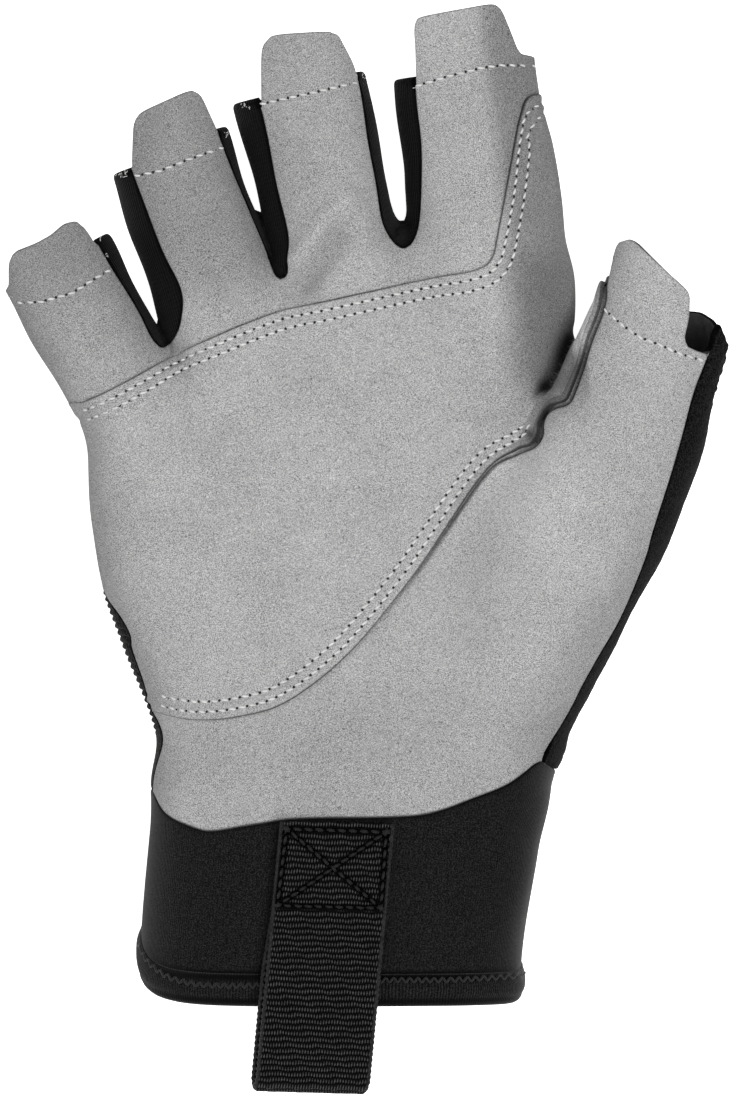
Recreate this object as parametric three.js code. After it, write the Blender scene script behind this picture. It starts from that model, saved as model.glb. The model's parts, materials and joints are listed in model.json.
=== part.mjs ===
// A half-finger climbing glove for the right hand, lying on its back with the palm up.
// Millimetres, +X to the thumb side, +Y to the fingertips, +Z up out of the palm. The back rests on z = 0.
//
// One smooth form, the union of a hand tube, four finger tubes and a thumb tube, is meshed once. Seam lines
// cut that surface into panels. Each panel is thickened inwards into a wall of cloth, with a small gap at
// the seams.

import * as THREE from 'three';

// Driving sizes
const SEAM_GAP = 0.3;
const WEBBING_WIDTH = 21.7;
const WEBBING_THICKNESS = 1.5;
const HEM_HEIGHT = 6.4;

// How softly the tubes run into each other
const WEB_RADIUS = 4.0;
const FINGER_BLEND = 1.0;
const THUMB_CROTCH_BLEND = 3;
const THENAR_BLEND = 14;
const THENAR_BLEND_FROM_Y = 8;
const THENAR_BLEND_TO_Y = 34;
const KNUCKLE_ROUNDING = 13;
const END_ROUNDING = 4;

// The mesh: its grid, and how far apart its vertices end up
const CELL = 2.5;
const GRID_LOW = new THREE.Vector3(-84, -97, -7);
const GRID_HIGH = new THREE.Vector3(84, 114, 52);
const FINE_SPACING = 3.7;
const CROTCH_SPACING = 2.2;
const PALM_SPACING = 5.6;
const CROTCH_REACH = [4, 9];
const FINGERS_FROM_Y = [20, 34];
const HEM_FROM_Y = [-62, -70];
const JOIN_SHARES = [0.45, 0.6, 0.72, 0.8, 0.8];
const LEAST_TURN_COSINE = 0.6;
const GRADIENT_STEP = 0.05;
const NEAR_SEAM = 0.3;
const SEAM_HALVINGS = 14;
const REST_TOLERANCE = 0.02;

// The cuff's opening faces a little towards the palm side, and its edge leans a little to the thumb side
const RIM = { middleX: -6.5, halfWidth: 36.5, middleZ: 21, halfHeight: 22, y: -80.3, lean: 2.2, slant: 6.0 };

// How high the seam between palm side and back runs, as shares of a section's half height from its middle
const FINGER_PARTING = -0.42;
const HEEL_PARTING = 0.28;
const PARTING_DROP_Y = [-14, -6];
const PARTING_REACH = 2.5;
const CROTCH_SIDE_TO = 22;
const CROTCH_SIDE_HEIGHT = 0.3;

// Walls: how thick each cloth is inwards from the form, and how far it stands proud of it
const CLOTH = {
  finger_panel: { thickness: 1.4, proud: 0, color: 0xa9a9aa, roughness: 0.95 },
  palm_patch: { thickness: 1.4, proud: 1.0, color: 0xadadae, roughness: 0.95 },
  thumb_panel: { thickness: 1.4, proud: 0, color: 0xa6a6a7, roughness: 0.95 },
  fourchette_little_ring: { thickness: 1.3, proud: 0, color: 0x151515, roughness: 0.85 },
  fourchette_ring_middle: { thickness: 1.3, proud: 0, color: 0x151515, roughness: 0.85 },
  fourchette_middle_index: { thickness: 1.3, proud: 0, color: 0x151515, roughness: 0.85 },
  back_panel: { thickness: 1.8, proud: 0, color: 0x181818, roughness: 0.9 },
  thumb_back: { thickness: 1.5, proud: 0, color: 0x131313, roughness: 0.95 },
  cuff: { thickness: 2.4, proud: 0, color: 0x101011, roughness: 0.8 },
  cuff_hem: { thickness: 3.0, proud: 0.8, color: 0x0e0e0f, roughness: 0.8 },
};

// Turns rows of numbers into objects with named columns.
function table(columns, rows) {
  return rows.map((row) => Object.fromEntries(columns.map((name, i) => [name, row[i]])));
}

function points(pairs) {
  return pairs.map(([x, y]) => new THREE.Vector2(x, y));
}

// Hand and cuff: sections across X, at stations along Y
const HAND_SECTIONS = table(['station', 'left', 'right', 'low', 'high'], [
  [98, -43.5, 29.0, -1.6, 43.0],
  [86, -43.2, 29.3, -1.6, 43.0],
  [76, -42.8, 30.0, -1.6, 43.4],
  [64, -41.8, 31.7, -1.6, 43.4],
  [52, -41.0, 33.2, -1.6, 43.0],
  [44, -40.8, 32.6, -1.4, 42.4],
  [36, -39.8, 31.6, -1.4, 41.4],
  [28, -42.0, 31.0, -1.4, 40.0],
  [18, -46.0, 31.0, -1.4, 38.0],
  [8, -49.6, 32.0, -1.4, 36.0],
  [-4, -52.0, 33.0, -1.4, 34.0],
  [-16, -53.2, 35.0, -1.4, 32.8],
  [-28, -53.4, 37.6, -1.4, 31.4],
  [-42, -52.0, 39.4, -1.2, 30.0],
  [-56, -50.0, 38.6, -1.0, 29.0],
  [-72, -48.0, 37.0, -1.0, 28.0],
]);

// Fingers: sections across each finger, at distances from its opening towards the palm
const FINGER_COLUMNS = ['station', 'left', 'right', 'low', 'high'];
const LITTLE_SECTIONS = table(FINGER_COLUMNS, [
  [-20, -11.0, 10.2, 11.5, 28.6],
  [0, -11.2, 10.4, 8.0, 28.0],
  [10, -12.1, 10.0, 5.0, 28.4],
  [22, -11.8, 10.8, 1.5, 28.6],
  [34, -11.6, 11.0, -1.0, 28.0],
  [50, -8.0, 8.0, 3.0, 22.0],
]);
const RING_SECTIONS = table(FINGER_COLUMNS, [
  [-20, -11.6, 11.0, 7.5, 28.0],
  [0, -11.9, 11.3, 5.0, 28.0],
  [10, -12.2, 10.8, 3.2, 29.0],
  [22, -12.2, 12.0, 1.0, 30.4],
  [34, -12.4, 12.5, -1.2, 30.6],
  [54, -8.0, 8.0, 3.0, 23.0],
]);
const MIDDLE_SECTIONS = table(FINGER_COLUMNS, [
  [-20, -12.0, 12.6, 6.0, 27.0],
  [0, -12.2, 13.0, 4.0, 27.4],
  [12, -11.7, 12.7, 2.4, 29.2],
  [24, -12.2, 12.4, 0.6, 31.0],
  [38, -12.4, 12.5, -1.2, 31.4],
  [58, -8.0, 8.0, 3.0, 24.0],
]);
const INDEX_SECTIONS = table(FINGER_COLUMNS, [
  [-20, -13.2, 13.4, 5.0, 25.6],
  [0, -13.6, 13.7, 3.6, 26.6],
  [12, -13.2, 14.2, 2.0, 28.6],
  [24, -14.0, 14.4, 0.6, 30.6],
  [40, -14.0, 14.8, -1.2, 31.6],
  [62, -9.0, 9.0, 3.0, 24.0],
]);
const THUMB_SECTIONS = table(FINGER_COLUMNS, [
  [-20, -12.6, 12.0, 16.0, 36.5],
  [0, -12.6, 12.7, 12.0, 36.5],
  [10, -12.6, 13.6, 9.5, 38.0],
  [20, -13.2, 15.1, 7.0, 40.0],
  [32, -16.0, 15.5, 3.0, 42.6],
  [44, -19.0, 14.7, 0.0, 44.2],
  [56, -20.0, 12.8, -1.4, 44.2],
  [68, -19.0, 10.0, -1.4, 43.4],
  [80, -17.0, 7.0, -1.4, 42.6],
  [94, -14.0, 3.0, 1.0, 40.0],
]);

// Where the hand tube ends in the crotches of the fingers
const KNUCKLE_LINE = table(['x', 'y'], [
  [-70, 24],
  [-52, 33],
  [-39, 42],
  [-17, 55.5],
  [7, 61.5],
  [24, 63],
  [50, 62],
]);

// Seam lines on the palm side, seen from above
const PATCH_UPPER_EDGE = points([
  [-53.9, 28.1], [-47.6, 30.8], [-33.2, 38.4], [-18.3, 44.6], [-5.2, 47.7], [12.3, 51.5], [19.3, 52.6],
  [23.6, 54.6], [25.2, 60.8], [28.0, 76.6], [29.0, 81.9], [30.4, 85.9], [33.9, 86.8],
]);
const PATCH_LOWER_EDGE = points([
  [44.4, 51.1], [43.0, 47.5], [42.0, 39.0], [38.9, 30.0], [37.3, 27.8], [34.6, 26.6], [33.4, 21.1],
  [31.0, 18.4], [23.3, 14.6], [15.1, 3.8], [8.3, -5.9], [-2.9, -19.4], [-14.3, -28.5], [-23.5, -31.5],
  [-32.0, -32.2], [-40.2, -30.8],
]);
const THUMB_SIDE_SEAM = points([
  [69.6, 50.0], [64.9, 37.4], [62.2, 28.3], [58.8, 14.6], [54.1, 0.9], [48.4, -12.7], [40.6, -26.4],
  [34.1, -37.8], [32.0, -46.0],
]);
const HEEL_EDGE = points([
  [-80, -43.0], [-42.0, -43.0], [-40.4, -46.4], [-38.0, -50.0], [-33.2, -52.4], [-29.7, -53.2],
  [-22.9, -52.2], [-13.6, -50.9], [5.0, -50.5], [12.3, -49.8], [21.2, -46.9], [26.9, -44.6], [32.2, -41.4],
  [36.0, -42.4], [80, -42.4],
]);

// Strips between the fingers: their borders down one finger, round the crotch and up the next
const FOURCHETTES = {
  fourchette_little_ring: points([
    [-55.0, 64.0], [-50.6, 57.4], [-44.9, 46.9], [-41.5, 41.6], [-38.9, 39.9], [-36.0, 42.4], [-35.2, 48.3],
    [-38.9, 57.4], [-44.2, 70.9], [-47.5, 81.0],
  ]),
  fourchette_ring_middle: points([
    [-30.0, 86.0], [-27.1, 77.0], [-22.9, 66.3], [-19.4, 58.4], [-16.6, 51.7], [-14.4, 55.6], [-16.8, 68.2],
    [-20.2, 84.2], [-23.0, 96.0],
  ]),
  fourchette_middle_index: points([
    [-3.0, 100.0], [-1.2, 88.2], [1.4, 73.9], [3.6, 62.0], [7.3, 57.6], [10.2, 62.7], [10.4, 75.4],
    [9.6, 86.0], [8.4, 100.0],
  ]),
};

// Tabs past the openings, in each finger's own distances past the opening and across it
const TABS = {
  little: points([[-4, -20], [0.2, -20], [1.0, -10.4], [5.2, -8.0], [6.2, -5.6], [5.8, 6.6], [3.6, 8.1],
    [-4, 8.1]]),
  ring: points([[-4, -8.4], [0, -8.2], [8.2, -5.0], [9.6, -3.0], [10.7, 7.6], [9.2, 9.2], [0, 9.9],
    [-4, 9.9]]),
  middle: points([[-4, -8.2], [0, -8.0], [11.4, -5.2], [13.2, -2.6], [11.2, 9.6], [4.6, 11.3], [-4, 11.3]]),
  index: points([[-4, -9.4], [0, -9.4], [10.8, -8.2], [12.8, -5.8], [13.3, 6.6], [10.2, 9.1], [2.6, 11.6],
    [1.8, 20], [-4, 20]]),
  thumb: points([[-4, -20], [3, -20], [4.2, -13.4], [10.6, -13.3], [12.1, -11.6], [9.2, -4.2], [6.1, 2.2],
    [4.0, 3.4], [-3.0, 5.6], [-4, 20]]),
};

// Smooth maths
function smoothMin(a, b, radius) {
  const share = Math.max(radius - Math.abs(a - b), 0) / radius;
  return Math.min(a, b) - share * share * radius * 0.25;
}

function smoothMax(a, b, radius) {
  return -smoothMin(-a, -b, radius);
}

function smoothStep([from, to], value) {
  const { smoothstep } = THREE.MathUtils;
  return from < to ? smoothstep(value, from, to) : 1 - smoothstep(value, to, from);
}

// A value between the rows of a table, on a smooth curve through them.
function between(rows, key, column, value) {
  const last = rows.length - 1;
  const step = Math.sign(rows[last][key] - rows[0][key]);
  let i = 0;
  while (i < last - 1 && (rows[i + 1][key] - value) * step < 0) i += 1;
  const slope = (a, b) => (rows[b][column] - rows[a][column]) / (rows[b][key] - rows[a][key]);
  const width = rows[i + 1][key] - rows[i][key];
  const t = THREE.MathUtils.clamp((value - rows[i][key]) / width, 0, 1);
  const m0 = slope(Math.max(i - 1, 0), i + 1) * width;
  const m1 = slope(i, Math.min(i + 2, last)) * width;
  const a = rows[i][column];
  const b = rows[i + 1][column];
  return a + t * (m0 + t * (3 * (b - a) - 2 * m0 - m1 + t * (m0 + m1 - 2 * (b - a))));
}

// A tube with a straight axis seen from above, and a rounded-box section that changes along it.
class Tube {
  constructor({ tip, lean, power, sections }) {
    const angle = THREE.MathUtils.degToRad(lean);
    this.tip = new THREE.Vector2(...tip);
    this.along = new THREE.Vector2(-Math.sin(angle), -Math.cos(angle));
    this.across = new THREE.Vector2(Math.cos(angle), -Math.sin(angle));
    this.power = power;
    this.sections = sections;
    this.stations = sections.map((row) => row.station);
  }

  // Where a point lies: station and side seen from above, height above mid-plane, distance from the wall.
  measure(p) {
    const dx = p.x - this.tip.x;
    const dy = p.y - this.tip.y;
    const station = dx * this.along.x + dy * this.along.y;
    const side = dx * this.across.x + dy * this.across.y;
    const at = (column) => between(this.sections, 'station', column, station);
    const left = at('left');
    const right = at('right');
    const low = at('low');
    const high = at('high');
    const halfWidth = (right - left) / 2;
    const halfHeight = (high - low) / 2;
    const middle = (high + low) / 2;
    const u = Math.abs(side - (left + right) / 2) / halfWidth;
    const v = Math.abs(p.z - middle) / halfHeight;
    const n = this.power;
    const radius = Math.max((u ** n + v ** n) ** (1 / n), 1e-6);
    const steepness = Math.hypot(u ** (n - 1) / halfWidth, v ** (n - 1) / halfHeight) * radius ** (1 - n);
    const wall = (radius - 1) / Math.max(steepness, 1 / Math.max(halfWidth, halfHeight));
    const ends = Math.max(Math.min(...this.stations) - station, station - Math.max(...this.stations));
    return { station, side, middle, halfHeight, distance: smoothMax(wall, ends, END_ROUNDING) };
  }
}

const HAND = new Tube({ tip: [0, 0], lean: 0, power: 2.5, sections: HAND_SECTIONS });
const FINGERS = {
  little: new Tube({ tip: [-58.4, 54.2], lean: -30.7, power: 2.25, sections: LITTLE_SECTIONS }),
  ring: new Tube({ tip: [-36.8, 75.0], lean: -18.5, power: 2.25, sections: RING_SECTIONS }),
  middle: new Tube({ tip: [-12.2, 85.6], lean: -13.3, power: 2.25, sections: MIDDLE_SECTIONS }),
  index: new Tube({ tip: [19.0, 89.3], lean: -7.0, power: 2.25, sections: INDEX_SECTIONS }),
  thumb: new Tube({ tip: [56.9, 43.5], lean: 20.0, power: 2.3, sections: THUMB_SECTIONS }),
};

// Signed distance from the glove's outer surface, roughly in millimetres, with what was measured on the way.
function survey(p) {
  const hand = HAND.measure(p);
  const knuckles = between(KNUCKLE_LINE, 'x', 'y', p.x);
  hand.distance = smoothMax(hand.distance, p.y - knuckles, KNUCKLE_ROUNDING);
  const measured = { hand };
  let fingers = Infinity;
  for (const [name, tube] of Object.entries(FINGERS)) {
    measured[name] = tube.measure(p);
    if (name === 'thumb') continue;
    const { distance } = measured[name];
    fingers = fingers === Infinity ? distance : smoothMin(fingers, distance, FINGER_BLEND);
  }
  const crotchShare = smoothStep([THENAR_BLEND_FROM_Y, THENAR_BLEND_TO_Y], p.y);
  const thumbBlend = THREE.MathUtils.lerp(THENAR_BLEND, THUMB_CROTCH_BLEND, crotchShare);
  let distance = smoothMin(hand.distance, fingers, WEB_RADIUS);
  distance = smoothMin(distance, measured.thumb.distance, thumbBlend);
  return { measured, distance: Math.max(distance, -p.z) };
}

function form(p) {
  return survey(p).distance;
}

function gradient(p) {
  const q = p.clone();
  const slope = (axis) => {
    q.copy(p);
    q[axis] += GRADIENT_STEP;
    const ahead = form(q);
    q[axis] -= 2 * GRADIENT_STEP;
    return (ahead - form(q)) / (2 * GRADIENT_STEP);
  };
  return new THREE.Vector3(slope('x'), slope('y'), slope('z'));
}

function ontoSurface(p, steps = 3) {
  for (let i = 0; i < steps; i += 1) {
    const g = gradient(p);
    p.addScaledVector(g, -form(p) / Math.max(g.lengthSq(), 0.05));
  }
  return p;
}

function inside(outline, x, y) {
  let odd = false;
  for (let i = 0, j = outline.length - 1; i < outline.length; j = i, i += 1) {
    const a = outline[i];
    const b = outline[j];
    if (a.y > y !== b.y > y && x < a.x + ((b.x - a.x) * (y - a.y)) / (b.y - a.y)) odd = !odd;
  }
  return odd;
}

function smooth(line, perSpan = 6) {
  return new THREE.SplineCurve(line).getPoints((line.length - 1) * perSpan);
}

// Outlines seen from above, closed outside the glove
const patchOutline = [
  ...smooth(PATCH_UPPER_EDGE),
  ...points([[40, 95], [45.5, 84], [45.5, 54]]),
  ...smooth(PATCH_LOWER_EDGE),
  ...points([[-70, -30.8], [-70, 28.1]]),
];
const upperOutline = [...smooth(PATCH_UPPER_EDGE), ...points([[34, 130], [-100, 130], [-100, 28.1]])];
const thumbBackOutline = [...smooth(THUMB_SIDE_SEAM), ...points([[100, -46], [100, 50]])];
const fourchetteOutlines = Object.entries(FOURCHETTES).map(([name, line]) => [name, smooth(line)]);

function partingShare(name, p) {
  if (name !== 'hand') return FINGER_PARTING;
  return THREE.MathUtils.lerp(HEEL_PARTING, FINGER_PARTING, smoothStep(PARTING_DROP_Y, p.y));
}

function partingHeight(p, measured) {
  let sum = 0;
  let weights = 0;
  for (const [name, { middle, halfHeight, distance }] of Object.entries(measured)) {
    const weight = Math.exp(-Math.abs(distance) / PARTING_REACH);
    sum += weight * (middle + partingShare(name, p) * halfHeight);
    weights += weight;
  }
  return sum / weights;
}

function rimY(p) {
  const across = THREE.MathUtils.clamp((p.x - RIM.middleX) / RIM.halfWidth, -1, 1);
  const rise = THREE.MathUtils.clamp((p.z - RIM.middleZ) / RIM.halfHeight, -1, 1);
  return RIM.y - RIM.lean * across - RIM.slant * rise;
}

// Which panel a point of the surface belongs to, or null where the glove is open.
function panelAt(p) {
  if (p.y < between(HEEL_EDGE, 'x', 'y', p.x)) {
    const aboveRim = p.y - rimY(p);
    if (aboveRim < 0) return null;
    return aboveRim < HEM_HEIGHT ? 'cuff_hem' : 'cuff';
  }
  const { measured } = survey(p);
  const [nearest] = Object.entries(measured).reduce((a, b) => (b[1].distance < a[1].distance ? b : a));
  const { station, side, middle, halfHeight } = measured[nearest];
  if (nearest !== 'hand' && station < 0) {
    const onTab = p.z > middle && inside(TABS[nearest], -station, side);
    if (!onTab) return null;
    return nearest === 'thumb' ? 'thumb_panel' : 'finger_panel';
  }
  const onThumb = nearest === 'thumb';
  const palmSide = p.z > partingHeight(p, measured);
  if (inside(thumbBackOutline, p.x, p.y)) return 'thumb_back';
  if (!palmSide) return onThumb ? 'thumb_back' : 'back_panel';
  for (const [name, outline] of fourchetteOutlines) {
    if (inside(outline, p.x, p.y)) return name;
  }
  const lowOnSide = p.z < middle + CROTCH_SIDE_HEIGHT * halfHeight;
  const crotchSide = onThumb && side < 0 && station < CROTCH_SIDE_TO && lowOnSide;
  if (inside(patchOutline, p.x, p.y) || crotchSide) return 'palm_patch';
  return inside(upperOutline, p.x, p.y) ? 'finger_panel' : 'thumb_panel';
}

// Meshing: a vertex in each grid cell that the surface crosses, a quad round each grid edge that it crosses
function meshForm() {
  const count = GRID_HIGH.clone().sub(GRID_LOW).divideScalar(CELL).ceil();
  const [nx, ny, nz] = [count.x + 1, count.y + 1, count.z + 1];
  const at = (i, j, k) => i + nx * (j + ny * k);
  const corner = (i, j, k) => new THREE.Vector3(i, j, k).multiplyScalar(CELL).add(GRID_LOW);
  const values = new Float64Array(nx * ny * nz);
  for (let k = 0; k < nz; k += 1) {
    for (let j = 0; j < ny; j += 1) {
      for (let i = 0; i < nx; i += 1) values[at(i, j, k)] = form(corner(i, j, k)) || 1e-9;
    }
  }
  const vertices = [];
  const vertexOf = new Map();
  const axes = [[1, 0, 0], [0, 1, 0], [0, 0, 1]];
  const plus = (a, b, times = 1) => a.map((value, n) => value + times * b[n]);
  // The corners of a cell that lie inside the form and join up with the given one along the cell's edges.
  const joined = (cell, start) => {
    const found = [start];
    for (let n = 0; n < found.length; n += 1) {
      for (const axis of [0, 1, 2]) {
        const next = plus(found[n], axes[axis], found[n][axis] === cell[axis] ? 1 : -1);
        if (values[at(...next)] > 0 || found.some((c) => at(...c) === at(...next))) continue;
        found.push(next);
      }
    }
    return found;
  };
  // A cell has one vertex for each part of the form that reaches into it, so close fingers stay apart.
  const cellVertex = (cell, start) => {
    const found = joined(cell, start);
    const key = `${at(...cell)} ${Math.min(...found.map((c) => at(...c)))}`;
    if (vertexOf.has(key)) return vertexOf.get(key);
    const sum = new THREE.Vector3();
    let crossings = 0;
    for (const a of found) {
      for (const axis of [0, 1, 2]) {
        const b = plus(a, axes[axis], a[axis] === cell[axis] ? 1 : -1);
        const [va, vb] = [values[at(...a)], values[at(...b)]];
        if (vb <= 0) continue;
        sum.add(corner(...a).lerp(corner(...b), va / (va - vb)));
        crossings += 1;
      }
    }
    vertices.push(ontoSurface(sum.divideScalar(crossings)));
    vertexOf.set(key, vertices.length - 1);
    return vertices.length - 1;
  };
  const triangles = [];
  for (let k = 1; k < nz - 1; k += 1) {
    for (let j = 1; j < ny - 1; j += 1) {
      for (let i = 1; i < nx - 1; i += 1) {
        for (const [axis, step] of axes.entries()) {
          const here = [i, j, k];
          const next = plus(here, step);
          const va = values[at(...here)];
          if (va > 0 === values[at(...next)] > 0) continue;
          const [s, t] = [axes[(axis + 1) % 3], axes[(axis + 2) % 3]];
          const solid = va > 0 ? next : here;
          const cell = (m, n) => cellVertex(plus(plus(here, s, -m), t, -n), solid);
          const quad = [cell(1, 1), cell(0, 1), cell(0, 0), cell(1, 0)];
          if (va > 0) quad.reverse();
          const [a, b, c, d] = quad;
          const shorter = vertices[a].distanceTo(vertices[c]) < vertices[b].distanceTo(vertices[d]);
          triangles.push(...(shorter ? [[a, b, c], [a, c, d]] : [[a, b, d], [b, c, d]]));
        }
      }
    }
  }
  return { vertices, triangles };
}

// Joins close vertices, so that the mesh is fine at the fingers and coarse on the palm and the cuff.
function coarsen({ vertices, triangles }) {
  const crotches = Object.values(FOURCHETTES).map((line) => line.reduce((a, b) => (b.y < a.y ? b : a)));
  const spacing = (p) => {
    const fine = smoothStep(FINGERS_FROM_Y, p.y) + smoothStep(HEM_FROM_Y, p.y);
    const away = Math.min(...crotches.map((crotch) => Math.hypot(p.x - crotch.x, p.y - crotch.y)));
    const finger = THREE.MathUtils.lerp(CROTCH_SPACING, FINE_SPACING, smoothStep(CROTCH_REACH, away));
    return THREE.MathUtils.lerp(PALM_SPACING, finger, fine);
  };
  const around = vertices.map(() => new Set());
  triangles.forEach((triangle, t) => triangle.forEach((v) => around[v].add(t)));
  const ring = (v) => new Set([...around[v]].flatMap((t) => triangles[t]).filter((w) => w !== v));
  const facing = ([a, b, c], replace, place) => {
    const [p, q, r] = [a, b, c].map((v) => (replace.includes(v) ? place : vertices[v]));
    return new THREE.Vector3().subVectors(q, p).cross(new THREE.Vector3().subVectors(r, p)).normalize();
  };
  const join = (u, v) => {
    const common = [...ring(u)].filter((w) => ring(v).has(w));
    if (common.length !== 2 || common.some((w) => around[w].size < 5)) return false;
    const place = ontoSurface(vertices[u].clone().lerp(vertices[v], 0.5), 2);
    const stays = (t) => !(triangles[t].includes(u) && triangles[t].includes(v));
    for (const t of [...around[u], ...around[v]].filter(stays)) {
      const turn = facing(triangles[t], [u, v], place).dot(facing(triangles[t], [], place));
      if (turn < LEAST_TURN_COSINE) return false;
    }
    vertices[u].copy(place);
    for (const t of [...around[v]]) {
      if (triangles[t].includes(u)) {
        for (const w of triangles[t]) around[w].delete(t);
        triangles[t] = null;
        continue;
      }
      triangles[t] = triangles[t].map((w) => (w === v ? u : w));
      around[u].add(t);
    }
    around[v].clear();
    return true;
  };
  for (const share of JOIN_SHARES) {
    for (let u = 0; u < vertices.length; u += 1) {
      for (const v of around[u].size > 0 ? ring(u) : []) {
        if (vertices[u].distanceTo(vertices[v]) < share * spacing(vertices[u]) && join(u, v)) break;
      }
    }
  }
  const kept = vertices.map((_, v) => v).filter((v) => around[v].size > 0);
  const numbers = new Map(kept.map((v, n) => [v, n]));
  return {
    vertices: kept.map((v) => vertices[v]),
    triangles: triangles.filter(Boolean).map((triangle) => triangle.map((v) => numbers.get(v))),
  };
}

// Cuts the triangles along the seam lines, so that each lies in one panel.
function cutIntoPanels({ vertices, triangles }) {
  const labels = vertices.map(panelAt);
  const onSeam = vertices.map(() => false);
  const neighbours = vertices.map(() => new Set());
  for (const [a, b, c] of triangles) {
    for (const [i, j] of [[a, b], [b, c], [c, a]]) {
      neighbours[i].add(j);
      neighbours[j].add(i);
    }
  }
  // How far along the way from one vertex to another the panel changes.
  const crossing = (i, j) => {
    let near = 0;
    let far = 1;
    for (let n = 0; n < SEAM_HALVINGS; n += 1) {
      const middle = (near + far) / 2;
      if (panelAt(vertices[i].clone().lerp(vertices[j], middle)) === labels[i]) near = middle;
      else far = middle;
    }
    return (near + far) / 2;
  };
  const moved = vertices.map((v) => v.clone());
  for (let i = 0; i < vertices.length; i += 1) {
    let best = NEAR_SEAM;
    for (const j of neighbours[i]) {
      if (labels[i] === labels[j] || onSeam[j]) continue;
      const t = crossing(i, j);
      if (t >= best) continue;
      best = t;
      moved[i] = vertices[i].clone().lerp(vertices[j], t);
    }
    onSeam[i] = best < NEAR_SEAM;
  }
  const cuts = new Map();
  const cut = (i, j) => {
    if (onSeam[i] || onSeam[j] || labels[i] === labels[j]) return -1;
    const key = i < j ? `${i} ${j}` : `${j} ${i}`;
    if (!cuts.has(key)) {
      const [a, b] = [Math.min(i, j), Math.max(i, j)];
      moved.push(vertices[a].clone().lerp(vertices[b], crossing(a, b)));
      cuts.set(key, moved.length - 1);
    }
    return cuts.get(key);
  };
  const pieces = [];
  for (let [a, b, c] of triangles) {
    let [ab, bc, ca] = [cut(a, b), cut(b, c), cut(c, a)];
    const total = [ab, bc, ca].filter((v) => v >= 0).length;
    if (total === 0) pieces.push([a, b, c]);
    if (total === 1) {
      while (ab < 0) [a, b, c, ab, bc, ca] = [b, c, a, bc, ca, ab];
      pieces.push([a, ab, c], [ab, b, c]);
    }
    if (total === 2) {
      while (bc >= 0) [a, b, c, ab, bc, ca] = [b, c, a, bc, ca, ab];
      pieces.push([a, ab, ca], [ab, b, c], [ab, c, ca]);
    }
    if (total === 3) pieces.push([a, ab, ca], [ab, b, bc], [ca, bc, c], [ab, bc, ca]);
  }
  for (const v of moved) ontoSurface(v, 1);
  const names = pieces.map((triangle) => {
    const free = triangle.find((v) => v < vertices.length && !onSeam[v]);
    if (free !== undefined) return labels[free];
    const [p, q, r] = triangle.map((v) => moved[v]);
    return panelAt(p.clone().add(q).add(r).divideScalar(3));
  });
  return { vertices: moved, triangles: pieces, names };
}

const edgeKey = (i, j) => (i < j ? `${i} ${j}` : `${j} ${i}`);

// Gives small islands of a panel to the panel round them, so that each panel is one piece.
function joinIslands({ triangles, names }) {
  const byEdge = new Map();
  triangles.forEach(([a, b, c], t) => {
    for (const key of [edgeKey(a, b), edgeKey(b, c), edgeKey(c, a)]) {
      if (!byEdge.has(key)) byEdge.set(key, []);
      byEdge.get(key).push(t);
    }
  });
  const beside = (t) => {
    const [a, b, c] = triangles[t];
    const keys = [edgeKey(a, b), edgeKey(b, c), edgeKey(c, a)];
    return keys.flatMap((key) => byEdge.get(key)).filter((n) => n !== t);
  };
  for (let round = 0; round < 3; round += 1) {
    const seen = new Set();
    const islands = [];
    for (let start = 0; start < triangles.length; start += 1) {
      if (seen.has(start)) continue;
      const island = [start];
      seen.add(start);
      for (let n = 0; n < island.length; n += 1) {
        for (const t of beside(island[n])) {
          if (seen.has(t) || names[t] !== names[start]) continue;
          seen.add(t);
          island.push(t);
        }
      }
      islands.push(island);
    }
    const largest = new Map();
    for (const island of islands) {
      const name = names[island[0]];
      if (!largest.has(name) || island.length > largest.get(name).length) largest.set(name, island);
    }
    for (const island of islands) {
      const name = names[island[0]];
      if (name === null || largest.get(name) === island) continue;
      const around = island.flatMap(beside).map((t) => names[t]).filter((other) => other !== name);
      if (around.length === 0) continue;
      const times = (wanted) => around.filter((n) => n === wanted).length;
      const commonest = [...around].sort((x, y) => times(y) - times(x))[0];
      for (const t of island) names[t] = commonest;
    }
  }
}

function vertexNormals({ vertices, triangles }) {
  const normals = vertices.map(() => new THREE.Vector3());
  const [ab, ac] = [new THREE.Vector3(), new THREE.Vector3()];
  for (const [a, b, c] of triangles) {
    ab.subVectors(vertices[b], vertices[a]);
    ac.subVectors(vertices[c], vertices[a]);
    ab.cross(ac);
    for (const v of [a, b, c]) normals[v].add(ab);
  }
  return normals.map((n) => n.normalize());
}

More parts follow.
